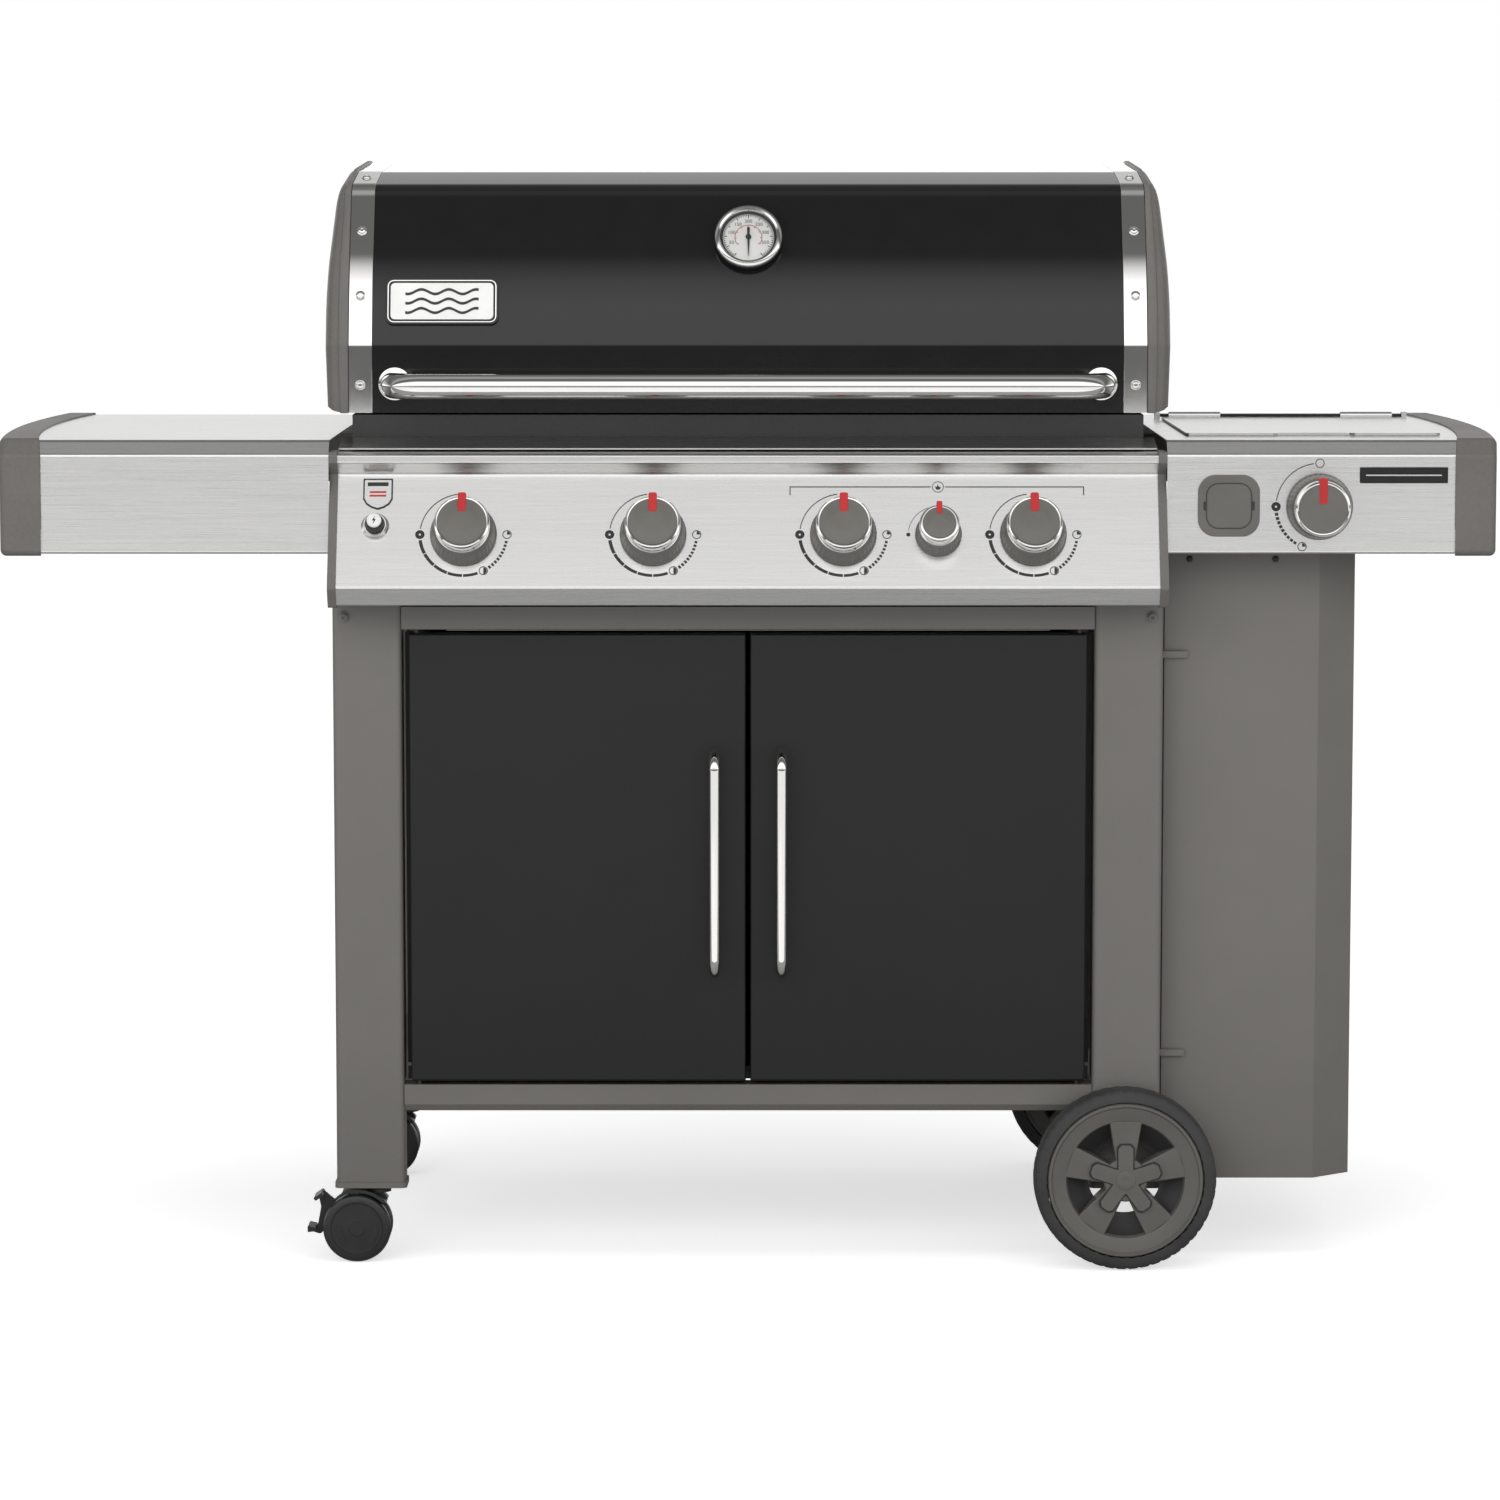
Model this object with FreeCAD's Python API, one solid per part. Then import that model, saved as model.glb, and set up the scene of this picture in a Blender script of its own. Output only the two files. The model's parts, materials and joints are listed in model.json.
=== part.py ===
"""Four-burner gas barbecue grill on a closed cart, with a side burner.

Millimetres.  +X runs to the user's right, +Y away from the user, +Z up.
The origin lies on the floor, under the middle of the overall width and depth.
"""
import FreeCAD, Part
import math
import os

Vec = FreeCAD.Vector

# ---- driving dimensions -------------------------------------------------

leg_inner = 378.4
leg_outer = 453.7
leg_front = -274.0
leg_depth = 45.0
leg_bottom = 89.0
leg_top = 736.0
sheet = 1.6

door_front = -278.0
door_thickness = 20.0
door_bottom = 203.2
door_top = 696.9
door_outer = 370.1
door_gap = 5.0
door_axis_x = 362.0
door_axis_y = -268.0

table_top = 909.5
table_front = -300.0
table_rear = 287.0
fascia = -315.0
fascia_bottom = 787.0
fascia_top = 894.0
table_inner = 453.0

panel_half = 443.5
panel_tilt = 24.5
knob_z = 809.0
knob_y = -329.0
main_knobs = {"knob_1": -306.9, "knob_2": -102.3, "knob_3": 102.9, "knob_4": 307.8}
sear_x = 205.5
igniter_x = -402.3
igniter_z = 817.0
igniter_bore = 10.9
side_knob_x = 617.6
side_knob_z = 838.2

box_half = 432.0
box_front = -242.0
box_rear = 284.0
box_rim = 934.0

lid_front = -244.0
skin_half = 410.0
band_half = 436.0
cap_half = 462.0
lid_bottom = 936.0
hinge_y = 300.0
hinge_z = 950.0

burner_x0 = 481.0
burner_x1 = 760.0
burner_y0 = -216.0
burner_y1 = 150.0
side_axis_y = 156.0
side_axis_z = 914.5

wheel_x = 413.5
wheel_r = 100.0
wheel_y = 302.0
wheel_width = 40.0
caster_stem_x = -408.0
caster_wheel_x = -432.0
caster_y = 252.0
caster_r = 37.5
stem_r = 5.5
brake_x = -455.0
brake_z = 54.0

running = 0.05


# ---- helpers ------------------------------------------------------------
def box(x0, x1, y0, y1, z0, z1):
    return Part.makeBox(x1 - x0, y1 - y0, z1 - z0, Vec(x0, y0, z0))


def hollow_bar(axis, x0, x1, y0, y1, z0, z1, wall=2.0):
    """Rectangular tube open at both ends along one axis."""
    grow = {"x": (1, -wall, -wall), "y": (-wall, 1, -wall), "z": (-wall, -wall, 1)}[axis]
    bore = box(x0 - grow[0], x1 + grow[0], y0 - grow[1], y1 + grow[1], z0 - grow[2], z1 + grow[2])
    return box(x0, x1, y0, y1, z0, z1).cut(bore)


def rod(start, end, radius):
    axis = end - start
    return Part.makeCylinder(radius, axis.Length, start, axis)


def at(plane, u, v, w):
    """Point of an outline drawn across the plane's normal x, y or z."""
    if plane == "x":
        return Vec(w, u, v)
    if plane == "y":
        return Vec(u, w, v)
    return Vec(u, v, w)


def rounded_edges(plane, corners, w, closed):
    """Straight runs joined by tangent arcs; each corner is (u, v, radius)."""
    count = len(corners)
    entries = []
    for i, corner in enumerate(corners):
        here = Vec(corner[0], corner[1], 0)
        radius = corner[2] if len(corner) > 2 else 0.0
        end = not closed and i in (0, count - 1)
        if radius <= 0 or end:
            entries.append((here, None, here))
            continue
        before = Vec(corners[i - 1][0], corners[i - 1][1], 0) - here
        after = Vec(corners[(i + 1) % count][0], corners[(i + 1) % count][1], 0) - here
        before.normalize()
        after.normalize()
        half = before.getAngle(after) / 2
        reach = radius / math.tan(half)
        bisector = before + after
        bisector.normalize()
        middle = here + bisector * (radius / math.sin(half) - radius)
        entries.append((here + before * reach, middle, here + after * reach))
    edges = []
    last = count if closed else count - 1
    for i in range(count):
        first, middle, out = entries[i]
        if middle:
            arc = Part.Arc(at(plane, first.x, first.y, w), at(plane, middle.x, middle.y, w),
                           at(plane, out.x, out.y, w))
            edges.append(arc.toShape())
        if i < last:
            following = entries[(i + 1) % count][0]
            if (following - out).Length > 1e-6:
                edges.append(Part.makeLine(at(plane, out.x, out.y, w),
                                           at(plane, following.x, following.y, w)))
    return edges


def prism(plane, corners, w0, w1):
    face = Part.Face(Part.Wire(rounded_edges(plane, corners, w0, True)))
    return face.extrude(at(plane, 0, 0, w1 - w0))


def offset_path(corners, distance):
    """The same open path moved to its left by a distance."""
    moved = []
    for i, corner in enumerate(corners):
        here = Vec(corner[0], corner[1], 0)
        radius = corner[2] if len(corner) > 2 else 0.0
        into = out = None
        if i > 0:
            into = here - Vec(corners[i - 1][0], corners[i - 1][1], 0)
            into.normalize()
        if i < len(corners) - 1:
            out = Vec(corners[i + 1][0], corners[i + 1][1], 0) - here
            out.normalize()
        into = into or out
        out = out or into
        n1 = Vec(-into.y, into.x, 0)
        n2 = Vec(-out.y, out.x, 0)
        shift = (n1 + n2) * (distance / (1 + n1.dot(n2)))
        turn = into.cross(out).z
        if radius > 0:
            radius = radius - distance if turn > 0 else radius + distance
        moved.append((here.x + shift.x, here.y + shift.y, max(radius, 0.0)))
    return moved


def bent_sheet(plane, corners, thickness, w0, w1):
    """A folded sheet: an open path given a thickness to its left."""
    outer = rounded_edges(plane, corners, w0, False)
    inner = rounded_edges(plane, offset_path(corners, thickness), w0, False)
    a0 = outer[0].Vertexes[0].Point
    a1 = outer[-1].Vertexes[-1].Point
    b0 = inner[0].Vertexes[0].Point
    b1 = inner[-1].Vertexes[-1].Point
    edges = Part.sortEdges(outer + [Part.makeLine(a1, b1)] + inner + [Part.makeLine(b0, a0)])[0]
    return Part.Face(Part.Wire(edges)).extrude(at(plane, 0, 0, w1 - w0))


def bent_rod(points, bend, radius):
    """Round bar along straight runs joined by tangent arcs in space."""
    edges = []
    last = points[0]
    for i in range(1, len(points) - 1):
        here = points[i]
        before = points[i - 1] - here
        after = points[i + 1] - here
        before.normalize()
        after.normalize()
        half = before.getAngle(after) / 2
        reach = bend / math.tan(half)
        bisector = before + after
        bisector.normalize()
        first = here + before * reach
        out = here + after * reach
        middle = here + bisector * (bend / math.sin(half) - bend)
        edges.append(Part.makeLine(last, first))
        edges.append(Part.Arc(first, middle, out).toShape())
        last = out
    edges.append(Part.makeLine(last, points[-1]))
    start = points[0]
    circle = Part.Wire(Part.makeCircle(radius, start, points[1] - start))
    return Part.Wire(edges).makePipeShell([circle], True, True)


def frustum(levels):
    """Ruled solid through rectangles (x0, x1, y0, y1, z)."""
    wires = []
    for x0, x1, y0, y1, z in levels:
        ring = [Vec(x0, y0, z), Vec(x1, y0, z), Vec(x1, y1, z), Vec(x0, y1, z), Vec(x0, y0, z)]
        wires.append(Part.makePolygon(ring))
    return Part.makeLoft(wires, True, True)


def mirrored(shape):
    return shape.mirror(Vec(0, 0, 0), Vec(1, 0, 0))


def fused(shapes):
    return shapes[0].multiFuse(shapes[1:]).removeSplitter()


def leaning(shape, x, y, z, tilt):
    """Stand a shape drawn along +Z on a face whose normal leans up by the tilt."""
    shape = shape.copy()
    lean = FreeCAD.Placement(Vec(x, y, z), FreeCAD.Rotation(Vec(1, 0, 0), 90 - tilt))
    shape.Placement = lean.multiply(shape.Placement)
    return shape


def save(node, *shapes):
    shape = shapes[0] if len(shapes) == 1 else Part.makeCompound(list(shapes))
    shape.exportStep("parts/" + node + ".step")


# ---- cart ---------------------------------------------------------------
def make_cart():
    inset = leg_outer - leg_inner
    wall = 2.0
    corner = [(0, 0, 6), (inset, 0, 6), (inset, leg_depth, 6), (0, leg_depth, 6)]
    left = []
    right = []
    caps = []
    for y0 in (leg_front, -leg_front - leg_depth):
        outline = [(u - leg_outer, v + y0, r) for u, v, r in corner]
        hollow = [(u + (wall if u < -400 else -wall), v + (-wall if v > y0 + 9 else wall), r - wall)
                  for u, v, r in outline]
        tube = prism("z", outline, leg_bottom, leg_top).cut(prism("z", hollow, leg_bottom - 1, leg_top + 1))
        left.append(tube)
        right.append(mirrored(left[-1]))
        wide = [(u + (2 if u > -400 else -2), v + (2 if v > y0 + 9 else -2), 7) for u, v, r in outline]
        cap = prism("z", wide, leg_bottom - 6, leg_bottom)
        caps.append(mirrored(cap))
        socket_y = -caster_y if y0 < 0 else caster_y
        caps.append(cap.cut(rod(Vec(caster_stem_x, socket_y, 80), Vec(caster_stem_x, socket_y, 92),
                                stem_r + running)))
    bore = rod(Vec(wheel_x, leg_front - 5, wheel_r), Vec(wheel_x, 5 - leg_front, wheel_r), 8.0)
    right = [leg.cut(bore) for leg in right]
    save("cart_legs", *left, *right)
    save("leg_end_caps", *caps)

    front = leg_front + 2
    rails = []
    rails.append(hollow_bar("x", -leg_inner, leg_inner, front, front + 13, 701.4, 726))
    lower = [(front + 30, 170), (front + 30, 168.2), (front + 6, 168.2, 2), (front, 176, 2),
             (front, 198.2), (front + 30, 198.2), (front + 30, 190)]
    rails.append(bent_sheet("x", lower, -wall, -leg_inner, leg_inner))
    rails.append(hollow_bar("x", -leg_inner, leg_inner, -front - 30, -front, 168.2, 198.2))
    rails.append(hollow_bar("x", -leg_inner, leg_inner, -front - 25, -front, 655, 690))
    for side in (-1, 1):
        x0, x1 = sorted((side * 390, side * 442))
        y = -leg_front - leg_depth
        rails.append(hollow_bar("y", x0, x1, -y, y, leg_top - 40, leg_top))
        rails.append(hollow_bar("y", x0, x1, -y, y, 168.2, 198.2))
        x0, x1 = sorted((side * (box_half + 0.5), side * 762))
        for y0 in (-250, 205):
            rails.append(hollow_bar("x", x0, x1, y0, y0 + 22, 862, 890))
        x0, x1 = sorted((side * 376.5, side * leg_inner))
        runner = box(x0, x1, -229, 229, 698, 734)
        x0, x1 = sorted((side * 366, side * 376.5))
        rails.append(runner.fuse(box(x0, x1, -229, 229, 698, 701)))
    save("cart_rails", *rails)
    save("wheel_axle", rod(Vec(wheel_x, -317, wheel_r), Vec(wheel_x, 317, wheel_r), 8.0))


def make_cabinet():
    floor = bent_sheet("x", [(-242, 214), (-242, 199.8), (242, 199.8), (242, 214)], sheet, -376, 376)
    save("cabinet_floor", floor)
    side = bent_sheet("z", [(-357, -229), (-377, -229), (-377, 229), (-357, 229)], -sheet, 216, 694)
    back = bent_sheet("z", [(-374, 262), (-374, 248), (374, 248), (374, 262)], -sheet, 200, 654.8)
    save("cabinet_panels", side, mirrored(side), back)
    pins = []
    for side in (-1, 1):
        x = side * door_axis_x
        pins.append(rod(Vec(x, door_axis_y, 198.2), Vec(x, door_axis_y, door_bottom + 14), 3.0))
        pins.append(rod(Vec(x, door_axis_y, door_top - 14), Vec(x, door_axis_y, 701.4), 3.0))
    hinge_rod = rod(Vec(478, side_axis_y, side_axis_z), Vec(763, side_axis_y, side_axis_z), 2.0)
    save("hinge_pins", *pins, hinge_rod)


def make_door(side):
    """One pressed steel door with its vertical pull, seen for the left side."""
    x0 = -door_outer
    x1 = -door_gap / 2
    y1 = door_front + door_thickness
    shell = box(x0, x1, door_front, y1, door_bottom, door_top)
    edges = [e for e in shell.Edges if all(abs(v.Y - door_front) < 0.1 for v in e.Vertexes)]
    shell = shell.makeFillet(2.5, edges)
    hollow = box(x0 + 16, x1 - 2, door_front + 1.5, y1 + 1, door_bottom + 16, door_top - 16)
    shell = shell.cut(hollow)
    socket = 3.0 + running
    shell = shell.cut(rod(Vec(-door_axis_x, door_axis_y, door_bottom - 1),
                          Vec(-door_axis_x, door_axis_y, door_bottom + 15), socket))
    shell = shell.cut(rod(Vec(-door_axis_x, door_axis_y, door_top - 15),
                          Vec(-door_axis_x, door_axis_y, door_top + 1), socket))
    x = -36.5
    low, high, out = 321.7, 572.9, door_front - 38
    pull = bent_rod([Vec(x, door_front, low + 6), Vec(x, out, low + 6),
                     Vec(x, out, high - 6), Vec(x, door_front, high - 6)], 18, 6)
    name = "left_door" if side < 0 else "right_door"
    if side > 0:
        shell = mirrored(shell)
        pull = mirrored(pull)
    save(name, shell)
    save(name + "_handle", pull)


def make_tank_panel():
    plan = [(457.2, -215), (457.2, -240), (626.4, -240), (669, -206), (669, 60), (650, 60)]
    panel = bent_sheet("z", plan, sheet, 88, fascia_bottom)
    top = box(463.8, 669, -200, 40, fascia_bottom, fascia_bottom + 2)
    top = top.fuse(box(640, 669, 10, 40, fascia_bottom + 2, 849))
    tabs = [box(454.5, 482, -246, -241, z, z + 7) for z in (226, 668)]
    save("tank_panel", panel, top, *tabs)


# ---- side tables --------------------------------------------------------
def table_profile(grow):
    """Front bevel and fascia of a table, grown outward by a margin."""
    return [(table_rear + grow, table_top - 60, 0), (table_rear + grow, table_top + grow, 8),
            (table_front, table_top + grow, 10), (fascia - grow, fascia_top, 6)]


def bowed_plan(front, middle, rear, inner):
    """Face whose outer side is an arc bowing outward, seen from above."""
    y0, y1 = fascia - 20, table_rear + 20
    arc = Part.Arc(Vec(front, y0, 0), Vec(middle, 0, 0), Vec(rear, y1, 0)).toShape()
    ring = [arc, Part.makeLine(Vec(rear, y1, 0), Vec(inner, y1, 0)),
            Part.makeLine(Vec(inner, y1, 0), Vec(inner, y0, 0)),
            Part.makeLine(Vec(inner, y0, 0), Vec(front, y0, 0))]
    return Part.Face(Part.Wire(Part.sortEdges(ring)[0])).extrude(Vec(0, 0, 1000))


def make_tables():
    path = table_profile(0) + [(fascia, fascia_bottom, 3), (fascia + 14, fascia_bottom, 0)]
    whole = bent_sheet("x", path, sheet, table_inner, 800)
    inner_plan = bowed_plan(761, 791, 773, 400)
    whole = whole.common(inner_plan)
    save("left_table", mirrored(whole))

    well = box(burner_x0 + 7, burner_x1 - 7, burner_y0 + 7, burner_y1 - 7, 880, 930)
    right = whole.cut(well)
    stem_hole = rod(Vec(side_knob_x, fascia - 5, side_knob_z), Vec(side_knob_x, fascia + 8, side_knob_z), 9)
    right = right.cut(stem_hole)
    ears = []
    for x0 in (473.5, 761):
        ear = box(x0, x0 + 6, side_axis_y - 5, side_axis_y + 5, table_top - 1, side_axis_z + 4)
        ears.append(ear.cut(rod(Vec(x0 - 1, side_axis_y, side_axis_z),
                                Vec(x0 + 7, side_axis_y, side_axis_z), 2.0)))
    save("right_table", fused([right] + ears))

    closed = table_profile(2) + [(fascia - 2, 784.4, 8), (table_rear + 2, 784.4, 8)]
    cap = prism("x", closed, 740, 840)
    cap = cap.common(bowed_plan(806, 828, 809, 700)).cut(bowed_plan(761.3, 791.3, 773.3, 400))
    outer = []
    for edge in cap.Edges:
        middle = edge.valueAt((edge.FirstParameter + edge.LastParameter) / 2)
        if min(v.X for v in edge.Vertexes) > 800 and middle.x > 800:
            outer.append(edge)
    cap = cap.makeFillet(7, outer)
    core = prism("x", [(table_rear - 2, 780), (table_rear - 2, table_top - 3), (table_front + 8, table_top - 3),
                       (fascia + 4, fascia_top - 8), (fascia + 4, 780)], 740, 840)
    cap = cap.cut(core.common(bowed_plan(801, 823, 804, 700)))
    save("table_end_caps", cap, mirrored(cap))


def make_side_burner():
    rim = box(burner_x0 + 3, burner_x1 - 3, burner_y0 + 3, burner_y1 - 3, table_top + 0.05, table_top + 0.4)
    x0, x1, y0, y1 = burner_x0 + 8, burner_x1 - 8, burner_y0 + 8, burner_y1 - 8
    outer = frustum([(x0 + 22, x1 - 22, y0 + 22, y1 - 22, 850), (x0, x1, y0, y1, table_top + 0.4)])
    inner = frustum([(x0 + 24, x1 - 24, y0 + 24, y1 - 24, 852), (x0 + 2, x1 - 2, y0 + 2, y1 - 2, table_top + 0.5)])
    centre = Vec((burner_x0 + burner_x1) / 2, (burner_y0 + burner_y1) / 2, 0)
    pan = rim.fuse(outer).cut(inner)
    pan = pan.cut(rod(centre + Vec(0, 0, 840), centre + Vec(0, 0, 860), 16))
    save("side_burner_pan", pan)
    head = fused([rod(centre + Vec(0, 0, 835), centre + Vec(0, 0, 866), 14),
                  rod(centre + Vec(0, 0, 866), centre + Vec(0, 0, 880), 46),
                  rod(centre + Vec(0, 0, 880), centre + Vec(0, 0, 886), 40)])
    save("side_burner", head)
    bars = []
    reach = 100
    for i in range(-2, 3):
        bars.append(box(centre.x - reach - 6, centre.x + reach + 6, centre.y + i * 60 - 3,
                        centre.y + i * 60 + 3, 896, 904))
    for i in (-1, 0, 1):
        bars.append(box(centre.x + i * reach - 3, centre.x + i * reach + 3, centre.y - 128,
                        centre.y + 128, 889, 904))
    for sx in (-1, 1):
        for sy in (-1, 1):
            x = centre.x + sx * reach
            y = centre.y + sy * 120
            bars.append(box(x - 3, x + 3, y - 3, y + 3, 852.1, 896))
    save("side_burner_grate", fused(bars))
    plate = prism("z", [(burner_x0, burner_y0, 6), (burner_x1, burner_y0, 6),
                        (burner_x1, burner_y1, 6), (burner_x0, burner_y1, 6)], 910.2, 912.7)
    slit = prism("z", [(576, burner_y0 - 1), (667, burner_y0 - 1), (660, burner_y0 + 7, 3),
                       (583, burner_y0 + 7, 3)], 905, 920)
    plate = plate.cut(slit)
    knuckles = []
    for x0 in (490, 690):
        strap = box(x0, x0 + 60, burner_y1 - 2, side_axis_y, 910.4, 912.7)
        barrel = rod(Vec(x0, side_axis_y, side_axis_z), Vec(x0 + 60, side_axis_y, side_axis_z), 4.0)
        knuckles.append(strap.fuse(barrel))
    lid = fused([plate] + knuckles)
    lid = lid.cut(rod(Vec(470, side_axis_y, side_axis_z), Vec(770, side_axis_y, side_axis_z), 2.0 + running))
    save("side_burner_lid", lid)


# ---- control panel ------------------------------------------------------
def on_panel(z):
    """Depth of the leaning face at a height."""
    return knob_y - (knob_z - z) * math.tan(math.radians(panel_tilt))


def make_panel():
    foot = (on_panel(753.3), 753.3, 3)
    brow = (on_panel(872.7), 872.7, 3)
    face = [(fascia, fascia_top, 2), (fascia, 885.5, 3), brow, foot,
            (on_panel(753.3) + 10, 733, 3), (-330, 733)]
    panel = bent_sheet("x", [(fascia + 20, fascia_top + 3)] + face, sheet, -panel_half, panel_half)
    for x in list(main_knobs.values()) + [sear_x]:
        hole = leaning(Part.makeCylinder(9, 30, Vec(0, 0, -15)), x, knob_y, knob_z, panel_tilt)
        panel = panel.cut(hole)
    igniter_hole = Part.makeCylinder(igniter_bore + 0.1, 30, Vec(0, 0, -15))
    panel = panel.cut(leaning(igniter_hole, igniter_x, on_panel(igniter_z), igniter_z, panel_tilt))
    save("control_panel", panel)

    rim = 3.0
    end = [(fascia - rim, fascia_top + rim, 5), (fascia - rim, 885.5, 2), (brow[0] - rim, 872, 3),
           (foot[0] - rim, 752.5, 5), (foot[0] + 9, 731, 4), (-276, 731), (-276, leg_top + 1.5),
           (-262, leg_top + 1.5), (-262, fascia_top + rim, 4)]
    cap = prism("x", end, panel_half + 0.1, leg_outer - 1)
    save("panel_end_caps", cap, mirrored(cap))
    apron = bent_sheet("x", [(-243.2, 908), (-262, 904, 6), (fascia + 20.5, fascia_top + 4.8)], -sheet,
                       -panel_half, panel_half)
    save("panel_apron", apron)

    ring = Part.makeCylinder(15.3, 5).fuse(Part.makeCylinder(14, 9))
    ring = ring.cut(Part.makeCylinder(igniter_bore, 12, Vec(0, 0, -2)))
    save("igniter_bezel", leaning(ring, igniter_x, on_panel(igniter_z), igniter_z, panel_tilt))
    button = Part.makeCylinder(igniter_bore - 0.3, 12, Vec(0, 0, 1)).fuse(Part.makeCylinder(8.5, 9, Vec(0, 0, 13)))
    button = button.fuse(Part.makeCylinder(5, 21, Vec(0, 0, -20)))
    save("igniter_button", leaning(button, igniter_x, on_panel(igniter_z), igniter_z, panel_tilt))
    cover = prism("y", [(486.2, 805.9, 20), (553, 805.9, 20), (553, 872.6, 20), (486.2, 872.6, 20)],
                  fascia - 4, fascia)
    save("socket_cover", cover)
    shield = prism("z", [(-16, 17.5, 2), (-16, -8, 8), (0, -18, 3), (16, -8, 8), (16, 17.5, 2)], 0, 1.2)
    shield = leaning(shield, -400, on_panel(851.5), 851.5, panel_tilt)
    plate = box(660.7, 756, fascia - 1.5, fascia, 863.6, 880.9)
    save("trim_plates", shield, plate)
    screws = []
    for side in (-1, 1):
        screws.append(rod(Vec(side * 441, leg_front - 5, 715), Vec(side * 441, leg_front, 715), 7))
    for x in (484, 578):
        screws.append(rod(Vec(x, -242.5, 776), Vec(x, -240, 776), 4))
    save("frame_screws", *screws)


def knob(base, cap, height, stem):
    """Revolved knob along +Z with a pointer bar at twelve o'clock."""
    skirt = Part.makeCone(base, base - 3, height * 0.5)
    crown = Part.makeCylinder(cap, height * 0.5, Vec(0, 0, height * 0.5))
    crown = crown.makeFillet(2, [e for e in crown.Edges if abs(e.BoundBox.ZMin - height) < 0.01])
    width = 9 if base > 30 else 4
    pointer = Part.makeBox(width, base * 0.6, 1.6, Vec(-width / 2, cap - base * 0.56, height - 0.6))
    shaft = Part.makeCylinder(4, stem + 1, Vec(0, 0, -stem))
    return fused([skirt, crown, pointer, shaft])


def make_knobs():
    stem = 60.0
    lift = 0.8
    for name, x in main_knobs.items():
        shape = knob(36, 30, 41.3, stem).translated(Vec(0, 0, lift))
        save(name, leaning(shape, x, knob_y, knob_z, panel_tilt))
    shape = knob(25, 21, 38, stem).translated(Vec(0, 0, lift))
    save("sear_knob", leaning(shape, sear_x, knob_y, knob_z, panel_tilt))
    shape = knob(36, 30, 42.5, 38.0).translated(Vec(0, 0, lift))
    save("side_burner_knob", leaning(shape, side_knob_x, fascia, side_knob_z, 0))


# ---- cookbox and gas ----------------------------------------------------
def make_cookbox():
    wall = 5.0
    drop = [(-400, 400, -200, 240, leg_top), (-box_half, box_half, box_front, box_rear, 860),
            (-box_half, box_half, box_front, box_rear, box_rim)]
    outer = frustum(drop)
    inner = frustum([(x0 + wall, x1 - wall, y0 + wall, y1 - wall, z + dz)
                     for (x0, x1, y0, y1, z), dz in zip(drop, (-1, 0, 1))])
    shell = outer.cut(inner)
    ledge = box(-box_half + wall, box_half - wall, box_front + wall, box_rear - wall, 905, 911)
    ledge = ledge.cut(box(-box_half + 17, box_half - 17, box_front + 17, box_rear - 17, 900, 915))
    shell = shell.fuse(ledge)
    for x in list(main_knobs.values()) + [sear_x]:
        shell = shell.cut(rod(Vec(x, -260, 812), Vec(x, -190, 812), 16))
    for side in (-1, 1):
        x0, x1 = sorted((side * 428, side * 434))
        ear = prism("x", [(hinge_y - 40, 900), (box_rear, 900), (hinge_y + 9, 930, 8),
                          (hinge_y + 9, hinge_z + 9, 9), (hinge_y - 12, hinge_z + 9, 9)], x0, x1)
        shell = shell.fuse(ear)
        shell = shell.cut(rod(Vec(x0 - 1, hinge_y, hinge_z), Vec(x1 + 1, hinge_y, hinge_z), 4.0 + running))
    save("cookbox", shell)

    grates = []
    for side in (-1, 1):
        x0, x1 = sorted((side * 2, side * 424))
        y0, y1 = -234.0, 276.0
        bars = [box(x0, x1, y0, y0 + 9, 911.2, 924), box(x0, x1, y1 - 9, y1, 911.2, 924),
                box(x0, x0 + 9, y0, y1, 911.2, 924), box(x1 - 9, x1, y0, y1, 911.2, 924)]
        count = 18
        pitch = (x1 - x0 - 9) / count
        for i in range(1, count):
            x = x0 + 4.5 + i * pitch
            bars.append(box(x - 3.5, x + 3.5, y0 + 1, y1 - 1, 914, 924))
        bars.append(box(x0 + 1, x1 - 1, 17, 25, 912, 921))
        grates.append(fused(bars))
    save("cooking_grates", *grates)

    bars = []
    for x in (-358, -204.6, 0, 204.6, 358):
        bars.append(bent_sheet("y", [(x - 38, 852), (x, 888, 4), (x + 38, 852)], sheet, -226, 268))
    save("heat_deflectors", *bars)

    tubes = []
    for x in main_knobs.values():
        tube = rod(Vec(x, -222, 812), Vec(x, 250, 812), 14)
        tubes.append(tube.cut(rod(Vec(x, -223, 812), Vec(x, 248, 812), 12.5)))
    tube = rod(Vec(sear_x, -222, 812), Vec(sear_x, 60, 812), 11)
    tubes.append(tube.cut(rod(Vec(sear_x, -223, 812), Vec(sear_x, 58, 812), 9.5)))
    save("burner_tubes", *tubes)

    rack = [rod(Vec(-412, y, 1012), Vec(412, y, 1012), 4) for y in (75, 232)]
    for i in range(17):
        x = -376 + i * 47
        rack.append(rod(Vec(x, 75, 1012), Vec(x, 232, 1012), 2.2))
    posts = []
    for side in (-1, 1):
        for y in (75, 232):
            post = rod(Vec(side * 408, y, box_rim + 0.1), Vec(side * 408, y, 1008), 4)
            x0, x1 = sorted((side * 402, side * (box_half - 1)))
            posts.append(post.fuse(box(x0, x1, y - 6, y + 6, box_rim + 0.1, box_rim + 1.6)))
    save("warming_rack", fused(rack), *posts)


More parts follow.
